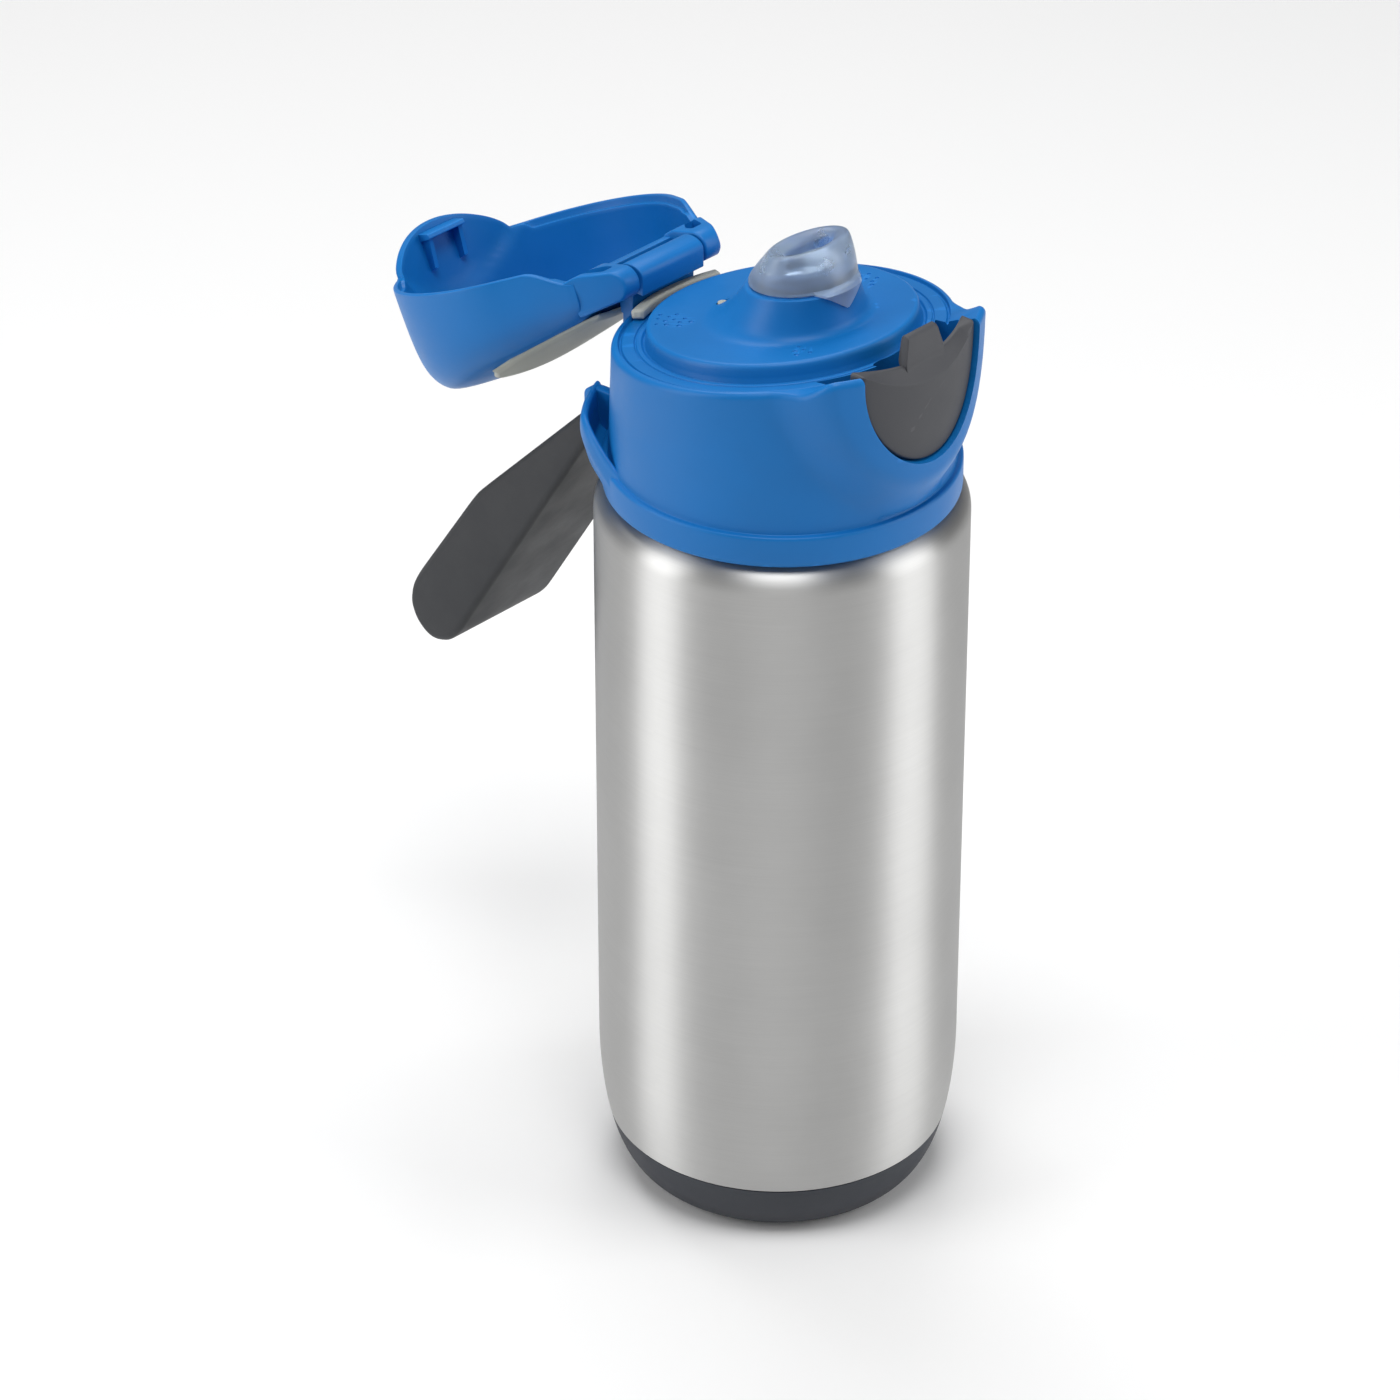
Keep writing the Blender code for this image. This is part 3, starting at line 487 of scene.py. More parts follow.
def make_wall():
    """Brushed outer wall: neck, shoulder, body and the foot under the boot."""
    top = [(NECK_RADIUS - 1.0, NECK_TOP, 0), (NECK_RADIUS, NECK_TOP, 0.3),
           (NECK_RADIUS, 161.5, 1.5), (25.3, 159.2), (27.2, 158.1), (33.4, 157.0),
           (34.9, 156.2), (36.0, 154.9),
           (BODY_RADIUS, SHOULDER_Z), (BODY_RADIUS, 148.0, 0)]
    outer = soft(top, 1.0)
    outer += [(BODY_RADIUS, z) for z in (130.0, 110.0, 90.0, 70.0, 50.0, 36.0)]
    outer += [(body_radius(z), z) for z in (32.0, 30.0, 28.0, 26.0, 24.0, 22.0, 20.0, 18.0, 16.0,
                                            14.5, 13.3)]
    outer += [(hidden_radius(z), z) for z in (13.25, 9.0, 4.6)]
    inner = [(hidden_radius(z) - 0.8, z) for z in (4.6, 9.0, 14.1)]
    inner += [(body_radius(z) - 0.8, z) for z in (14.1, 20.0, 24.0, 32.0)]
    inner += [(BODY_RADIUS - 0.8, SHOULDER_Z - 0.2), (34.4, 155.4), (33.2, 156.2),
              (26.8, 157.3), (24.4, 158.6), (NECK_RADIUS - 1.0, 161.0)]
    wall = lathe("brushed_body", outer + inner, 256)
    settle(wall, add=[thread_ridge("neck_ridge", NECK_RADIUS - 0.4, 26.0, 0.0)])
    show(wall, STEEL, "bottle", "outer_shell")


# ------------------------------------------------------------- lid

def ridge_z(y):
    """Height of the sloping deck."""
    return DECK_Z - math.tan(DECK_TILT) * y


def deck_point(radius, angle, height, centre_y=0.0):
    """Point on a ring that leans with the deck."""
    x = radius * math.cos(angle)
    y = centre_y + radius * math.sin(angle)
    lean = height * math.sin(DECK_TILT)
    return Vector((x, y + lean, ridge_z(y) + height * math.cos(DECK_TILT)))


def housing_bulge(x, y, z):
    """Share of the button housing's swell at a point of the wall."""
    if y > 0.0:
        return 0.0
    reach = math.hypot(x / 17.7, min(z - HOUSING_TOP, 0.0) / 23.7)
    return smooth((1.5 - reach) / 0.5)


def lid_top(x, y):
    """Height of the lid's upper edge, raised round the button."""
    level = ridge_z(y)
    if y > 0.0:
        return level
    share = smooth((BUTTON_HALF_WIDTH + 6.9 - abs(x)) / 5.0)
    return level + max(HOUSING_TOP - level, 0.0) * share


def wall_point(angle, share, inset=0.0, drop=1.3):
    """Point on the lid's outer wall; share runs from the band to the top."""
    radius = WALL_RADIUS + (TOP_RADIUS - WALL_RADIUS) * share
    x = radius * math.cos(angle)
    y = radius * math.sin(angle)
    z = BAND_TOP + 0.9 + (lid_top(x, y) - drop - BAND_TOP - 0.9) * share
    grown = radius + (HOUSING_RADIUS - radius) * housing_bulge(x, y, z) - inset
    return Vector((grown * math.cos(angle), grown * math.sin(angle), z))


def lid_rings():
    """The lid from under the deck, down inside, up outside and back to the bore."""
    def flat(radius, z):
        return [Vector((radius * math.cos(a), radius * math.sin(a), z)) for a in angles(COLUMNS)]

    def deck(radius, height, centre=0.0):
        return [deck_point(radius, a, height, centre) for a in angles(COLUMNS)]

    rings = [deck(25.2, 0.8), flat(25.4, CAVITY_TOP), flat(CAVITY_RADIUS, CAVITY_TOP)]
    rings.append(flat(CAVITY_RADIUS, 172.0))
    skirt = [(CAVITY_RADIUS, 164.0, 0), (CAVITY_RADIUS, LID_BOTTOM + 0.02, 0.4),
             (BAND_RADIUS - 0.02, LID_BOTTOM + 0.02, 0.9), (BAND_RADIUS - 0.02, BAND_TOP, 0.8),
             (WALL_RADIUS + 0.1, BAND_TOP + 0.1, 0.25), (WALL_RADIUS, BAND_TOP + 0.85, 0)]
    rings += [flat(r, z) for r, z in soft(skirt, 0.5, steps=6)]
    rows = 44
    for i in range(rows + 1):
        rings.append([wall_point(a, i / rows) for a in angles(COLUMNS)])
    for k in range(1, 8):
        turn = math.pi / 2.0 * k / 7.0
        inset = 1.1 * (1.0 - math.cos(turn))
        rings.append([wall_point(a, 1.0, inset, 1.3 - 1.3 * math.sin(turn))
                      for a in angles(COLUMNS)])
    steps = [(31.55, 0.0, 0.1), (31.3, -0.7, 0.12), (31.0, -0.7, 0.12), (30.75, -0.3, 0.12),
             (28.5, -0.3, 0.1), (28.35, -0.6, 0.1), (28.1, -0.6, 0.1), (27.95, -0.3, 0.1),
             (27.1, -0.3, 0.15), (26.8, -0.75, 0.2), (26.35, -0.75, 0.25), (26.05, 0.4, 0.3),
             (25.85, 2.95, 1.3), (24.0, DISC_TOP, 1.0), (22.0, DISC_TOP, 0)]
    rings += [deck(r, h) for r, h in soft(steps, 0.2, steps=4)]
    boss = [(17.4, 3.0, -1.8), (16.3, 3.1, -2.1), (15.3, 3.5, -2.4), (14.3, 4.25, -2.9),
            (13.4, 5.3, -3.6), (12.6, 6.6, -4.3), (11.95, 7.9, -4.95), (11.4, 9.2, -5.6)]
    rings += [deck(r, h, c) for r, h, c in flowing(boss, 4)]
    for r, h, c in ((11.05, 10.3, -6.1), (10.95, 10.65, -6.25), (10.75, 10.84, -6.35),
                    (10.4, 10.9, -6.4), (8.5, 10.9, -6.3), (8.5, 0.8, -6.3)):
        rings.append(deck(r, h, c))
    return rings


def curved_plate(name, half_width, depth, top, bottom_of, inner, outer, columns=72, rows=6):
    """D-shaped plate bent to the lid's curve, between two cylinder radii."""
    layers = []
    for radius in (inner, outer):
        grid = []
        for i in range(columns + 1):
            x = -half_width * math.cos(math.pi * i / columns)
            low = bottom_of - BUTTON_SIDE - depth * math.sqrt(max(1.0 - (x / half_width) ** 2, 0.0))
            y = -math.sqrt(radius * radius - x * x)
            grid.append([Vector((x, y, low + (top - low) * j / rows)) for j in range(rows + 1)])
        layers.append(grid)
    builder = bmesh.new()
    made = [[[builder.verts.new(p * MM) for p in column] for column in grid] for grid in layers]
    for grid in made:
        for i in range(columns):
            for j in range(rows):
                builder.faces.new((grid[i][j], grid[i + 1][j], grid[i + 1][j + 1], grid[i][j + 1]))
    border = [(i, 0) for i in range(columns)] + [(columns, j) for j in range(rows)]
    border += [(i, rows) for i in range(columns, 0, -1)] + [(0, j) for j in range(rows, 0, -1)]
    for (i, j), (k, m) in zip(border, border[1:] + border[:1]):
        builder.faces.new((made[0][i][j], made[0][k][m], made[1][k][m], made[1][i][j]))
    return from_bmesh(name, builder)


def tongue_slot():
    """Slot in the deck that takes the cap's tongue."""
    centre_y = CAP_AXIS[0] - CAP_CENTRE * math.cos(DECK_TILT) - CAP_RIM * math.sin(DECK_TILT)
    inner = CAP_RADIUS - CAP_WALL - 0.6
    half = TONGUE_HALF_WIDTH + 2.3
    count = 48
    plan = []
    for i in range(count + 1):
        x = half * (2.0 * i / count - 1.0)
        plan.append((x, -math.sqrt(33.7 ** 2 - x * x)))
    for i in range(count, -1, -1):
        x = half * (2.0 * i / count - 1.0)
        plan.append((x, centre_y - math.sqrt(inner * inner - x * x)))
    plan = soft([(x, y, 0.6) if abs(abs(x) - half) < 0.01 else (x, y, 0) for x, y in plan], 0.0,
                closed=True)
    return skin("slot_form", [[Vector((x, y, z)) for x, y in plan] for z in (187.9, 215.0)])


def handle_guard():
    """Crescent flange round the back, cut away for the handle."""
    rings = []
    spread = math.radians(68.0)
    count = 110
    for i in range(count + 1):
        off_back = -spread + 2.0 * spread * i / count
        swell = smooth((spread - abs(off_back)) / math.radians(26.0))
        angle = math.pi / 2.0 - off_back
        top = BAND_TOP + 0.2 + 7.6 * swell
        crest = BAND_RADIUS - 0.9 + 5.0 * swell
        root = BAND_RADIUS - 1.6
        inner = crest - 1.8
        section = [(root, LID_BOTTOM + 1.0), (BAND_RADIUS - 0.1, LID_BOTTOM + 1.2),
                   ((BAND_RADIUS + crest) / 2.0 + 0.4 * swell, LID_BOTTOM + 4.6),
                   (crest, top - 3.6), (crest - 0.1, top - 0.8), (crest - 0.8, top),
                   (inner + 0.2, top - 0.3), (inner, top - 1.6),
                   (inner - 0.6 * swell, LID_BOTTOM + 6.4), (root, LID_BOTTOM + 5.4)]
        rings.append([Vector((r * math.cos(angle), r * math.sin(angle), z))
                      for r, z in soft(section, 0.9, closed=True, steps=3)])
    return skin("guard_form", rings)


def hinge_knuckle():
    """Block between the ears that holds the hinge pin."""
    outline = [(28.6, 190.4, 0.3), (28.6, 194.6, 0.8), (29.3, 195.6), (31.0, 196.2), (33.0, 196.1),
               (34.3, 195.4), (34.9, 194.0), (34.9, 187.0), (33.4, 179.0), (31.4, 179.0),
               (31.2, 190.4)]
    block = prism("knuckle_form", soft(outline, 1.0, closed=True, steps=4), -8.6, 8.6)
    return settle(round_edges(block, 0.5, 3))


def guard_lug(side):
    """Cheek beside the handle with its trunnion socket."""
    outline = [(28.0, 160.7, 0), (34.6, 160.7), (36.6, 162.2, 0.5), (36.8, 170.6, 1.2),
               (34.4, 172.0, 1.8), (28.0, 172.2, 0)]
    inner = HANDLE_HALF_WIDTH + 0.9
    lug = prism("lug_form", soft(outline, 0.5, closed=True), side * inner, side * (inner + 2.2))
    return settle(round_edges(lug, 0.4, 3))


def dimples():
    """Small round pits scattered over the deck's disc."""
    pits = []
    spots = []
    for middle_x, middle_y, count in ((-13.6, 15.8, 12), (19.6, -3.4, 10), (-12.6, -16.4, 5)):
        for k in range(count):
            away = 1.25 * math.sqrt(k + 0.3)
            spots.append((middle_x + 0.8 * away * math.cos(2.4 * k),
                          middle_y + away * math.sin(2.4 * k), 0.36 + 0.09 * (k * 5 % 3)))
    for x, y, radius in spots:
        centre = deck_point(0.0, 0.0, DISC_TOP, y)
        middle = Vector((x, centre.y, centre.z))
        rings = []
        for share, z in ((1.0, 0.6), (1.0, 0.0), (0.8, -0.22), (0.4, -0.34)):
            rings.append([middle + Vector((radius * share * math.cos(a),
                                           radius * share * math.sin(a), z)) for a in angles(20)])
        pits.append(skin("pit_form", rings))
    return pits


def make_lid():
    lid = skin("lid_shell", lid_rings(), loop=True)
    pocket = curved_plate("pocket_form", BUTTON_HALF_WIDTH + 0.4, BUTTON_DEPTH + 0.4,
                          BUTTON_TOP + 12.0, BUTTON_TOP, 33.2, 46.0)
    plan = [(-5.8, -31.0), (5.8, -31.0), (5.8, -27.0, 1.4), (-5.8, -27.0, 1.4)]
    plan = soft(plan, 0.0, closed=True, steps=8)
    notch = skin("notch_form", [[Vector((x, y, z)) for x, y in plan] for z in (188.3, 215.0)])
    vent = rod("vent_form", 1.3, (-2.7, 13.2, 184.0), (-2.7, 13.2, 197.0))
    cut = [pocket, tongue_slot(), notch, vent]
    for side in (-1.0, 1.0):
        cut.append(rod("button_socket", BUTTON_TRUNNION + 0.08, (side * 11.0, *BUTTON_AXIS),
                       (side * 15.0, *BUTTON_AXIS)))
        cut.append(rod("handle_socket", HANDLE_TRUNNION + 0.09, (side * 13.9, *HANDLE_AXIS),
                       (side * 19.0, *HANDLE_AXIS)))
    cut.append(rod("pin_bore", PIN_RADIUS + 0.05, (-20.0, *CAP_AXIS), (20.0, *CAP_AXIS)))
    middle = HANDLE_HALF_WIDTH + 0.7
    gap = [(33.9, 150.0), (50.0, 150.0), (50.0, 185.0), (33.9, 185.0)]
    cut.append(prism("gap_form", gap, -middle, middle))
    cut.append(rod("barrel_form", 2.6, (-middle, *HANDLE_AXIS), (middle, *HANDLE_AXIS), 64))
    cut += dimples()
    settle(lid, add=[hinge_knuckle(), handle_guard(), guard_lug(-1.0), guard_lug(1.0)], cut=cut)
    show(lid, BLUE, "lid", "lid_body")


def make_stop_pad():
    """Soft stop pad along the deck's back edge."""
    section = soft([(28.3, 0.2), (30.8, 0.1), (30.9, 1.6), (30.5, 2.05), (28.6, 2.1),
                    (28.25, 1.7)], 0.35, closed=True)
    columns = []
    for i in range(61):
        off = -23.0 + 46.0 * i / 60.0
        shrink = min(1.0, 0.55 + 0.45 * math.sqrt(min((23.0 - abs(off)) / 0.8, 1.0)))
        angle = math.pi / 2.0 + math.radians(off)
        columns.append([deck_point(29.6 + (r - 29.6) * shrink, angle, 1.1 + (h - 1.1) * shrink)
                        for r, h in section])
    show(skin("stop_pad", columns), PALE, "lid", "hinge_pad")


def make_pin():
    """Hinge pin with softened ends."""
    section = soft([(0.0, 0.0), (PIN_RADIUS - 0.01, 0.0, 0.3), (PIN_RADIUS - 0.01, 26.58, 0.3),
                    (0.0, 26.58)], 0.3)
    rings = []
    for radius, x in section:
        if radius < 0.001:
            rings.append([Vector((x - 13.29, *CAP_AXIS))])
        else:
            rings.append([Vector((x - 13.29, CAP_AXIS[0] + radius * math.cos(a),
                                  CAP_AXIS[1] + radius * math.sin(a))) for a in angles(40)])
    show(skin("pin_rod", rings), PLAIN_STEEL, "lid", "hinge_pin")


def spout_ring(radius, height, centre, slope=0.0, squash=1.0, columns=128):
    """Oval ring of the spout, leaning with the deck."""
    ring = []
    for angle in angles(columns):
        x = radius * math.cos(angle)
        y = radius * squash * math.sin(angle)
        point = deck_point(0.0, 0.0, height - slope * y, centre + y)
        ring.append(Vector((x, point.y, point.z)))
    return ring


def pull_tab():
    """Pointed tab of the spout's skirt that hangs over the front of the boss."""
    rows = [(7.3, 0.3, 12.3, -4.65), (7.8, 1.0, 12.1, -4.9), (8.8, 2.4, 11.65, -5.4),
            (9.9, 3.9, 11.25, -5.95), (10.7, 5.2, 11.05, -6.3), (11.3, 6.2, 10.75, -6.45),
            (12.0, 6.4, 10.25, -6.6)]
    rings = []
    for height, width, radius, centre in rows:
        outer = radius + (0.42 if height < 11.0 else 0.08)
        inner = radius + 0.1 if height < 11.0 else radius - 1.6
        ring = []
        for reach, order in ((outer, range(13)), (inner, range(12, -1, -1))):
            for k in order:
                x = width * (k / 6.0 - 1.0)
                y = centre - math.sqrt(reach ** 2 - x * x)
                lean = height * math.sin(DECK_TILT)
                ring.append(Vector((x, y + lean, ridge_z(y) + height * math.cos(DECK_TILT))))
        rings.append(ring)
    return skin("tab_form", rings)


def make_mouthpiece():
    """Soft spout: dished oval mouth, cone, sleeve through the boss and flange."""
    foot = -6.3
    outer = [(10.0, 11.2, -6.5, 0.0, 1.0), (10.26, 11.3, -6.5, 0.0, 1.0),
             (10.34, 11.6, -6.55, 0.0, 1.0), (10.3, 12.4, -6.7, 0.0, 0.98),
             (10.2, 14.0, -7.2, 0.02, 0.91), (10.03, 15.6, -7.75, 0.035, 0.83),
             (9.8, 17.0, -8.2, 0.05, 0.75), (9.55, 18.0, -8.5, 0.06, 0.69),
             (9.3, 18.55, -8.65, 0.06, 0.65), (8.9, 18.84, -8.7, 0.06, 0.625),
             (8.5, 18.88, -8.7, 0.06, 0.61), (8.0, 18.8, -8.7, 0.06, 0.59),
             (7.4, 18.55, -8.7, 0.06, 0.56), (6.8, 18.15, -8.7, 0.06, 0.5),
             (6.35, 17.7, -8.7, 0.06, 0.45), (6.1, 17.1, -8.6, 0.05, 0.42),
             (5.95, 16.2, -8.4, 0.05, 0.42), (5.9, 15.6, -8.3, 0.04, 0.42)]
    rings = [spout_ring(*row) for row in flowing(outer, 3)]
    inside = [(6.4, 15.2, -8.1, 0.04, 0.5), (8.0, 15.0, -7.7, 0.03, 0.72),
              (8.5, 14.2, -7.3, 0.01, 0.85), (8.6, 12.8, -6.8, 0.0, 0.95),
              (7.8, 11.8, -6.5, 0.0, 1.0), (6.8, 11.0, foot, 0.0, 1.0),
              (6.8, -1.4, foot, 0.0, 1.0), (10.8, -1.4, foot, 0.0, 1.0),
              (11.0, -1.2, foot, 0.0, 1.0), (11.0, 0.2, foot, 0.0, 1.0),
              (10.8, 0.4, foot, 0.0, 1.0), (8.1, 0.4, foot, 0.0, 1.0), (8.1, 11.2, foot, 0.0, 1.0)]
    rings += [spout_ring(*row) for row in inside]
    mouth = settle(skin("mouthpiece", rings, loop=True), add=[pull_tab()])
    show(mouth, CLEAR, "lid", "spout", 45.0)


# ------------------------------------------------------------- button

def button_outline(scale, columns=128):
    """D outline shrunk towards its middle."""
    half = BUTTON_HALF_WIDTH
    low = BUTTON_TOP - BUTTON_SIDE
    plan = [(half * math.cos(a), low - BUTTON_DEPTH * math.sin(a))
            for a in [math.pi * i / columns for i in range(columns + 1)]]
    plan = [(half, BUTTON_TOP - 0.02, 0.9)] + plan + [(-half, BUTTON_TOP - 0.02, 0.9)]
    top = [(half * (i / 30.0 - 1.0), BUTTON_TOP - 0.02) for i in range(2, 59)]
    plan = soft([p if len(p) > 2 else (*p, 0.0) for p in plan], 0.0, steps=6, closed=True)
    ring = []
    for x, z in plan + [(x, z) for x, z in top]:
        sx = x * scale
        sz = 189.5 + (z - 189.5) * scale
        ring.append((sx, sz))
    ring.sort(key=lambda p: math.atan2(p[1] - 189.5, p[0]))
    return ring


def make_latch():
    """Push button: D face, thumb shelf behind a soft crease, leaning hook, trunnions."""
    def wrapped(scale, depth):
        points = []
        for x, z in button_outline(scale):
            crease = 193.4 + (BUTTON_TOP - 193.4) * (x / BUTTON_HALF_WIDTH) ** 2
            ledge = 196.9 + (BUTTON_TOP - 196.9) * (x / BUTTON_HALF_WIDTH) ** 2
            share = 0.0
            if z > crease:
                share = (z - crease) / max(BUTTON_TOP - crease, 0.05)
            share = min(share, 1.0)
            front = 37.29 - 2.0 * share * min((BUTTON_TOP - crease) / 2.0, 1.0)
            level = z if share == 0.0 else crease + share * (ledge - crease)
            back = 35.3 - 0.8 * smooth((level - 189.0) / 6.0)
            reach = back + (front - back) * depth
            points.append(Vector((x, -math.sqrt(max(reach * reach - x * x, 0.0)), level)))
        return points

    rings = [wrapped(0.5, 0.0), wrapped(0.8, 0.0), wrapped(0.985, 0.0), wrapped(1.0, 0.06),
             wrapped(1.0, 0.4), wrapped(1.0, 0.7)]
    for k in range(1, 7):
        turn = math.pi / 2.0 * k / 6.0
        rings.append(wrapped(1.0 - 0.035 * (1.0 - math.cos(turn)), 0.7 + 0.3 * math.sin(turn)))
    for k in range(1, 31):
        rings.append(wrapped(0.965 - 0.955 * k / 30.0, 1.0))
    plate = skin("latch_plate", rings)
    hook = [(-35.9, 193.7), (-35.4, 198.0), (-34.7, 202.3), (-33.2, 202.58), (-32.8, 201.6),
            (-33.3, 197.4), (-34.6, 194.8)]
    block = prism("hook_form", soft(hook, 0.7, closed=True, steps=4), -5.3, 5.3, None,
                  lambda y, z: 1.0 - 0.24 * smooth((z - 197.0) / 5.5))
    settle(round_edges(block, 0.5, 3))
    pins = [rod("trunnion_form", BUTTON_TRUNNION, (side * 9.5, *BUTTON_AXIS),
                (side * 14.5, *BUTTON_AXIS)) for side in (-1.0, 1.0)]
    settle(plate, add=[block] + pins)
    show(plate, GREY, "button", "latch_button", 40.0)


# ------------------------------------------------------------- cap

def cap_point(s, x, h):
    """Point in the open cap: s away from the hinge, h up from its plane."""
    y = CAP_AXIS[0] + s * math.cos(CAP_SLOPE) + h * math.sin(CAP_SLOPE)
    z = CAP_AXIS[1] - s * math.sin(CAP_SLOPE) + h * math.cos(CAP_SLOPE)
    return Vector((x, y, z))


def cap_plane(s, h):
    point = cap_point(s, 0.0, h)
    return point.y, point.z


def cap_reach(angle, radius, back):
    """Plan outline of the cap: a circle drawn in to the hinge."""
    neck = 15.4
    span = math.hypot(CAP_CENTRE, neck)
    tangent = math.atan2(neck, -CAP_CENTRE) - math.acos(CAP_RADIUS / span)
    turn = abs((angle + math.pi) % (2.0 * math.pi) - math.pi)
    reach = radius
    if turn > tangent:
        reach = radius / max(math.cos(turn - tangent), 0.3)
    if math.cos(turn) < 0.0:
        reach = min(reach, (CAP_CENTRE - back) / -math.cos(turn))
    return reach


CROWN = flowing(((0.0, 4.9), (10.0, 7.4), (20.0, 10.6), (30.0, 13.9), (40.0, 16.9),
                 (48.0, 18.4), (56.0, 18.9), (70.0, 18.6)), 6)


def cap_crown(s, x):
    """Depth of the cap's top below the hinge plane."""
    middle = CROWN[-1][1]
    if s <= 0.0:
        middle = CROWN[0][1]
    for (start, low), (end, high) in zip(CROWN, CROWN[1:]):
        if start < s <= end:
            middle = low + (high - low) * (s - start) / (end - start)
            break
    return middle - 3.6 * (x / 26.0) ** 2


def cap_rim(s, x):
    """Height of the rim: a tongue in front, lower beside the hinge."""
    height = CAP_RIM
    half = TONGUE_HALF_WIDTH
    if s > CAP_CENTRE and abs(x) < half:
        height += TONGUE_HEIGHT * (1.0 - (x / half) ** 2) ** 0.7
    if s < 14.0:
        height -= 3.9 * smooth((14.0 - s) / 8.5)
    return height


def tongue_bulge(s, x, h, edge=1.3, blend=0.3):
    """Share of the swell round the tongue."""
    if s < CAP_CENTRE:
        return 0.0
    reach = math.hypot(x / 15.2, (CAP_RIM + TONGUE_HEIGHT - h) / 13.0)
    return smooth((edge - reach) / blend)


def cap_ring(inset, spread=1.0, drop=0.0, floor=0.0, dip=0.0, lap=0.0, recess=0.0):
    """Ring of the cap; dip lowers it, lap only lowers it beside the tongue."""
    ring = []
    for angle in angles(CAP_COLUMNS):
        full = cap_reach(angle, CAP_RADIUS - inset, CAP_BACK + inset)
        edge_s = CAP_CENTRE + full * math.cos(angle)
        edge_x = full * math.sin(angle)
        s = CAP_CENTRE + spread * (edge_s - CAP_CENTRE)
        x = spread * edge_x
        turn = math.degrees(abs((angle + math.pi) % (2.0 * math.pi) - math.pi))
        side = smooth((turn - 37.0) / 4.0) * smooth((edge_s - 9.0) / 3.0)
        rim = cap_rim(edge_s, edge_x) - dip - lap * side
        h = rim + (floor - cap_crown(s, x) - rim) * drop
        if recess:
            push = recess * tongue_bulge(edge_s, edge_x, h, 1.25, 0.24)
        else:
            push = tongue_bulge(edge_s, edge_x, h)
        push *= spread
        ring.append(cap_point(s + push * math.cos(angle), x + push * math.sin(angle), h))
    return ring


def make_dome():
    """Cap that folds over the spout: dome, stepped rim, catch ledge and ears."""
    steps = [(1.0, 0.03), (0.9995, 0.1), (0.996, 0.25), (0.986, 0.5), (0.966, 0.7), (0.93, 0.84),
             (0.87, 0.94), (0.78, 0.99), (0.55, 1.0), (0.28, 1.0), (0.1, 1.0)]
    curve = flowing(steps, 4)
    rings = [[cap_point(CAP_CENTRE, 0.0, -cap_crown(CAP_CENTRE, 0.0))]]
    rings += [cap_ring(0.0, spread, drop) for spread, drop in reversed(curve)]
    edge = [(0.0, 0.45, 0.0), (0.06, 0.18, 0.0), (0.2, 0.05, 0.0), (0.4, 0.0, 0.0),
            (0.85, 0.0, 0.0), (1.0, 0.06, 0.05), (1.08, 0.08, 0.3), (1.12, 0.1, 1.2),
            (1.2, 0.12, 1.35), (1.65, 0.15, 1.35), (1.82, 0.22, 1.35), (1.9, 0.5, 1.35)]
    for inset, dip, lap in edge:
        rings.append(cap_ring(inset, dip=dip, lap=lap, recess=0.0 if inset < 1.5 else 1.15))
    for spread, drop in curve[1:]:
        rings.append(cap_ring(CAP_WALL, spread, drop, CAP_WALL, dip=0.5, lap=1.35,
                              recess=1.15))
    rings.append([cap_point(CAP_CENTRE, 0.0, CAP_WALL - cap_crown(CAP_CENTRE, 0.0))])
    dome = skin("cap_dome", rings)
    ear = arc((-0.5, 0.0), 3.19, 100.0, 245.0, 24)
    ear = [(*p, 0.0) for p in ear] + [(7.4, -4.6, 0.0), (7.4, 3.1, 0.0), (4.6, 3.9, 0.8)]
    ear = soft(ear, 0.0, closed=True)
    add = []
    cut = []
    for side in (-1.0, 1.0):
        face = [cap_point(s, side * 9.22, h) for s, h in ear]
        flank = [cap_point(s, side * (15.3 + 0.545 * s - 0.16 * max(-1.0 - h, 0.0) ** 2), h)
                 for s, h in ear]
        add.append(settle(round_edges(skin("ear_form", [face, flank]), 0.5, 3, 60.0)))
        plan = soft([(0.6, 13.9), (6.8, 17.0), (6.8, 15.0), (2.4, 11.0), (0.6, 11.0)], 0.7,
                    closed=True)
        cut.append(skin("ear_pocket", [[cap_point(s, side * x, h) for s, x in plan]
                                       for h in (1.9, 9.0)]))
    ledge = soft([(58.9, 11.0), (62.6, 10.6), (62.6, 12.2), (59.1, 12.0)], 0.3, closed=True)
    add.append(prism("ledge_form", ledge, -5.0, 5.0, cap_plane))
    for side in (-1.0, 1.0):
        rib = [(60.4, 4.8), (62.2, 4.2), (62.5, 11.2), (59.6, 11.2)]
        add.append(prism("rib_form", rib, side * 3.6, side * 4.6, cap_plane))
    cut.append(rod("ear_bore", PIN_RADIUS + 0.08, (-13.5, *CAP_AXIS), (13.5, *CAP_AXIS)))
    settle(dome, add=add, cut=cut)
    show(dome, BLUE, "cap", "flip_cap")


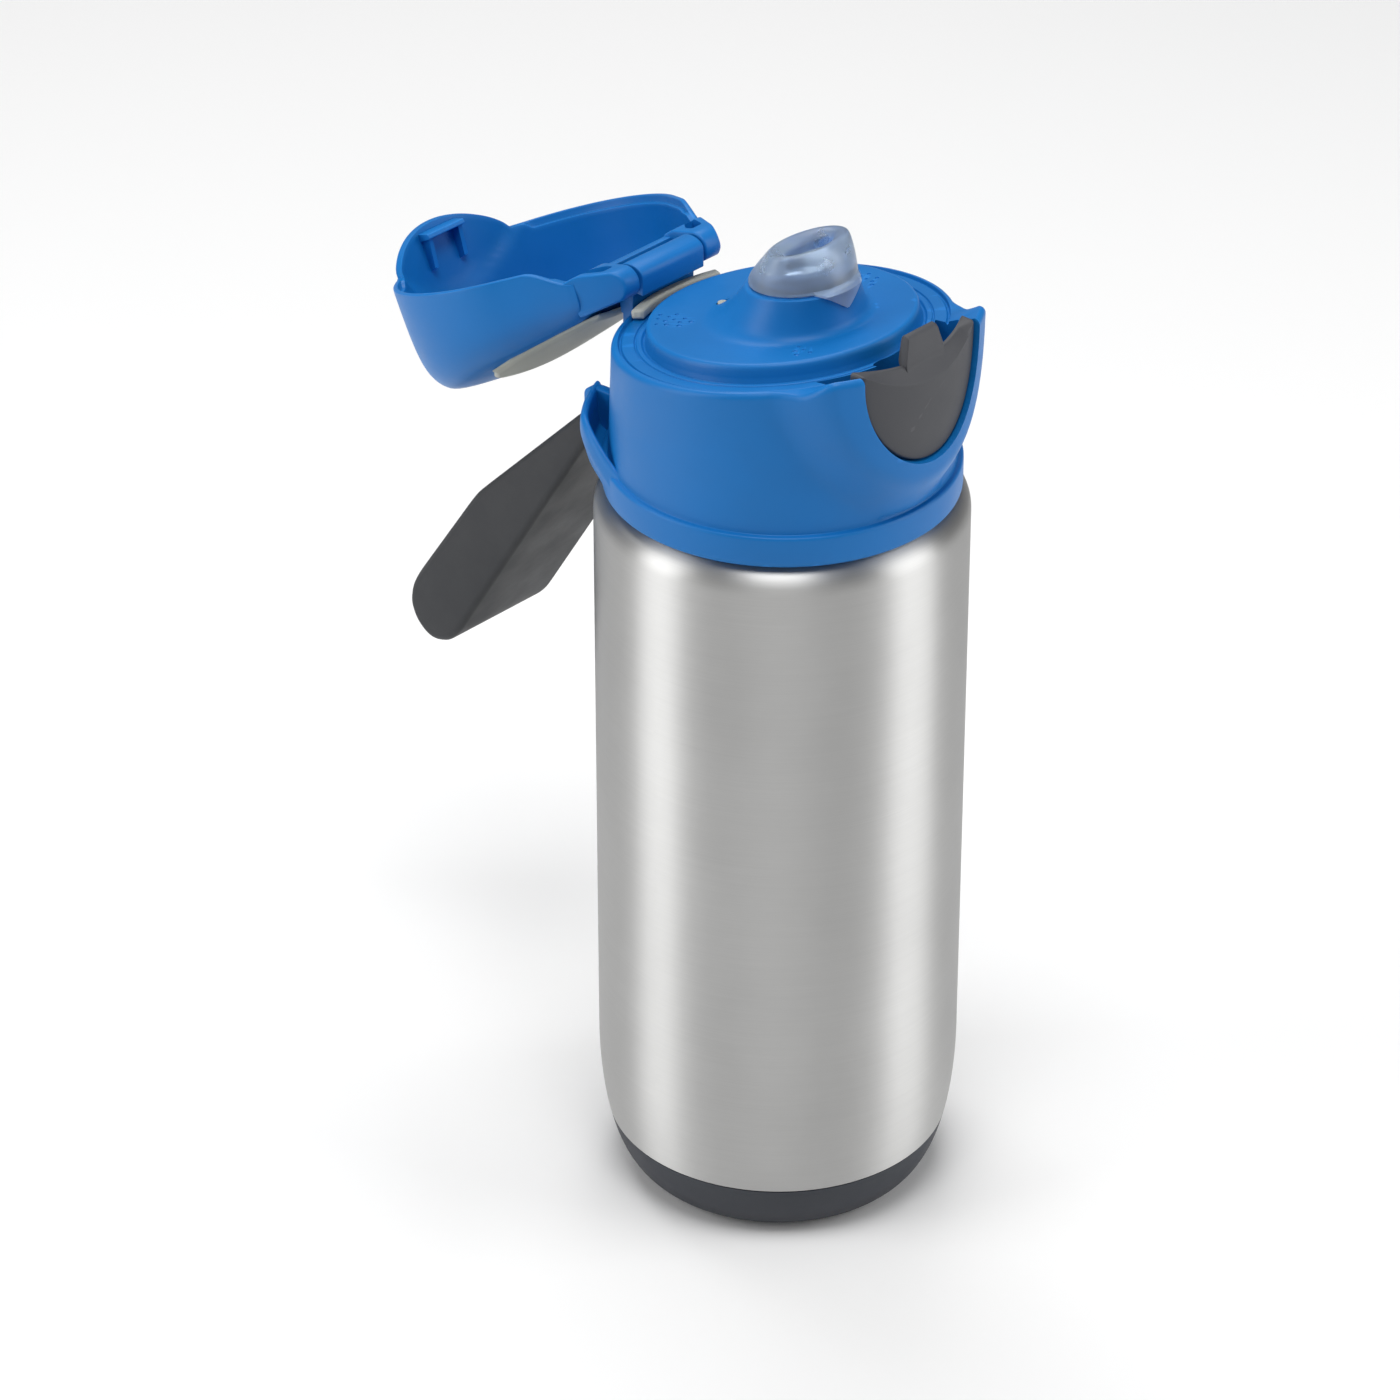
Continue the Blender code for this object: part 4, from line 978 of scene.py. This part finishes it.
def make_strip():
    """Soft pale strip on the cap's top beside the hinge, thin at its edges."""
    start = 6.0
    length = 31.0
    columns = 60
    rows = 48
    grids = []
    for layer in (0, 1):
        grid = []
        for i in range(rows + 1):
            s = start + length * i / rows
            half = min(13.5 + 0.36 * (s - start), 21.0) - 0.03
            row = []
            for j in range(columns + 1):
                x = half * (2.0 * j / columns - 1.0)
                bow = 3.0 * (1.0 - (x / half) ** 2) * i / rows
                bow -= 4.0 * smooth((abs(x) - half + 5.0) / 5.0) * smooth((i / rows - 0.6) / 0.4)
                edge = min(half - abs(x), s - start, start + length - s)
                depth = 0.25 + 0.6 * smooth(edge / 1.2) if layer else -0.35
                row.append(cap_point(s + bow, x, -cap_crown(s + bow, x) - depth))
            grid.append(row)
        grids.append(grid)
    builder = bmesh.new()
    made = [[[builder.verts.new(p * MM) for p in row] for row in grid] for grid in grids]
    for grid in made:
        for i in range(rows):
            for j in range(columns):
                builder.faces.new((grid[i][j], grid[i + 1][j], grid[i + 1][j + 1], grid[i][j + 1]))
    border = [(i, 0) for i in range(rows)] + [(rows, j) for j in range(columns)]
    border += [(i, columns) for i in range(rows, 0, -1)] + [(0, j) for j in range(columns, 0, -1)]
    for (i, j), (k, m) in zip(border, border[1:] + border[:1]):
        builder.faces.new((made[0][i][j], made[0][k][m], made[1][k][m], made[1][i][j]))
    strip = settle(round_edges(from_bmesh("soft_strip", builder), 0.3, 3))
    show(strip, PALE, "cap", "cap_inlay")


# ------------------------------------------------------------- handle

def handle_plane(a, b):
    """Point in the side view of the handle: a along it, b across."""
    y = HANDLE_AXIS[0] + a * math.cos(HANDLE_SLOPE) + b * math.sin(HANDLE_SLOPE)
    z = HANDLE_AXIS[1] - a * math.sin(HANDLE_SLOPE) + b * math.cos(HANDLE_SLOPE)
    return y, z


def make_paddle():
    """Carry handle: rounded paddle with a hollow grip and moulded trunnions."""
    tail = [(4.0, -1.4, 1.0), (12.0, -1.0, 3.0), (79.0, -1.0, 2.5), (83.0, 0.0), (86.0, 2.6),
            (86.8, 5.4), (86.2, 9.0), (84.0, 12.0), (80.4, 13.6), (76.4, 14.0, 3.0),
            (45.9, 12.9, 4.0), (42.4, 12.2, 4.0), (4.6, 3.6, 1.5)]
    outline = arc((0.0, 0.0), 2.29, 90.0, 270.0, 24)
    outline = soft([(*p, 0.0) for p in outline] + tail, 1.6, closed=True, steps=5)
    paddle = prism("carry_handle", outline, -HANDLE_HALF_WIDTH + 0.01, HANDLE_HALF_WIDTH - 0.01,
                   handle_plane)
    settle(round_edges(paddle, 1.6, 6, 60.0))
    notch = [(-4.0, -4.0), (6.6, -4.0), (6.6, 8.0), (-4.0, 8.0)]
    hollow = soft([(34.0, 7.5), (38.0, 4.2), (70.0, 3.6), (76.0, 6.6), (77.0, 20.0, 0),
                   (33.0, 20.0, 0)], 2.5, closed=True)
    grip = settle(round_edges(prism("hollow_form", hollow, -9.4, 9.4, handle_plane), 1.5, 4, 60.0))
    cut = [prism("notch_form", notch, -9.6, 9.6, handle_plane), grip]
    add = [rod("trunnion_form", HANDLE_TRUNNION, (side * 11.5, *HANDLE_AXIS),
               (side * 17.2, *HANDLE_AXIS)) for side in (-1.0, 1.0)]
    settle(paddle, add=add, cut=cut)
    show(paddle, CHARCOAL, "handle", "handle", 38.0)


# ------------------------------------------------------------- stage

MIDDLE_HEIGHT = 0.11


def make_stage():
    """Pale floor and soft studio light; the backdrop looks brighter than it shines."""
    bpy.ops.mesh.primitive_plane_add(size=6.0, location=(0.0, 0.0, -0.0002))
    floor = bpy.context.object
    floor.name = "studio_floor"
    nodes = Nodes("studio_floor")
    nodes.set(Base_Color=(0.95, 0.95, 0.95, 1.0), Roughness=0.75)
    nodes.set(Specular_IOR_Level=0.2)
    floor.data.materials.append(nodes.material)
    world = bpy.data.worlds.new("studio")
    bpy.context.scene.world = world
    world.use_nodes = True
    sky = world.node_tree.nodes["Background"]
    sky.inputs[0].default_value = (1.0, 1.0, 1.0, 1.0)
    path = world.node_tree.nodes.new("ShaderNodeLightPath")
    level = world.node_tree.nodes.new("ShaderNodeMapRange")
    level.inputs[3].default_value = 0.20
    level.inputs[4].default_value = 0.96
    world.node_tree.links.new(path.outputs["Is Camera Ray"], level.inputs[0])
    world.node_tree.links.new(level.outputs[0], sky.inputs[1])
    view = bpy.context.scene.view_settings
    view.view_transform = "Standard"
    view.look = "None"
    view.exposure = 0.0


def panel(name, azimuth, elevation, distance, size, power, target=(0.0, 0.0, MIDDLE_HEIGHT)):
    """Rectangular soft light aimed at the bottle; azimuth 0 is the front."""
    a = math.radians(azimuth)
    e = math.radians(elevation)
    back = Vector((math.sin(a) * math.cos(e), -math.cos(a) * math.cos(e), math.sin(e)))
    light = bpy.data.lights.new(name, "AREA")
    light.shape = "RECTANGLE"
    light.size, light.size_y = size
    light.energy = power
    holder = bpy.data.objects.new(name, light)
    bpy.context.scene.collection.objects.link(holder)
    holder.location = Vector(target) + back * distance
    holder.rotation_euler = back.to_track_quat("Z", "Y").to_euler()
    return holder


def make_lights():
    panel("left_strip", -122.0, 16.0, 0.9, (0.42, 1.0), 4.4)
    panel("right_strip", 33.0, 16.0, 0.9, (0.5, 1.0), 4.6)
    panel("key_panel", -50.0, 74.0, 1.2, (0.5, 0.5), 6.5)
    panel("back_panel", 150.0, 60.0, 1.3, (0.9, 0.6), 7.5)


def make_camera():
    """The photograph's viewpoint: a long lens from the front left, looking down."""
    azimuth = math.radians(-48.0)
    rise = math.radians(31.47)
    pitch = math.radians(31.57)
    yaw = math.radians(-0.97)
    roll = math.radians(-0.02)
    distance = 1.1
    place = Vector((math.cos(rise) * math.sin(azimuth) * distance,
                    -math.cos(rise) * math.cos(azimuth) * distance,
                    MIDDLE_HEIGHT + math.sin(rise) * distance))
    level = Vector((-math.sin(azimuth), math.cos(azimuth), 0.0))
    side = Vector((math.cos(azimuth), math.sin(azimuth), 0.0))
    ahead = math.cos(yaw) * level + math.sin(yaw) * side
    right = math.cos(yaw) * side - math.sin(yaw) * level
    forward = math.cos(pitch) * ahead - math.sin(pitch) * Vector((0.0, 0.0, 1.0))
    up = right.cross(forward)
    turned_right = math.cos(roll) * right + math.sin(roll) * up
    turned_up = math.cos(roll) * up - math.sin(roll) * right
    turn = Matrix((turned_right, turned_up, -forward)).transposed()
    data = bpy.data.cameras.new("photo_view")
    data.sensor_width = 36.0
    data.lens = 36.0 * 5581.0 / 1400.0
    data.clip_start = 0.05
    data.clip_end = 20.0
    camera = bpy.data.objects.new("photo_view", data)
    bpy.context.scene.collection.objects.link(camera)
    camera.matrix_world = Matrix.Translation(place) @ turn.to_4x4()
    bpy.context.scene.camera = camera


make_camera()
make_stage()
make_lights()
dress_cad()
for make in (make_bumper, make_wall, make_lid, make_stop_pad, make_pin, make_mouthpiece,
             make_latch, make_dome, make_strip, make_paddle):
    make()
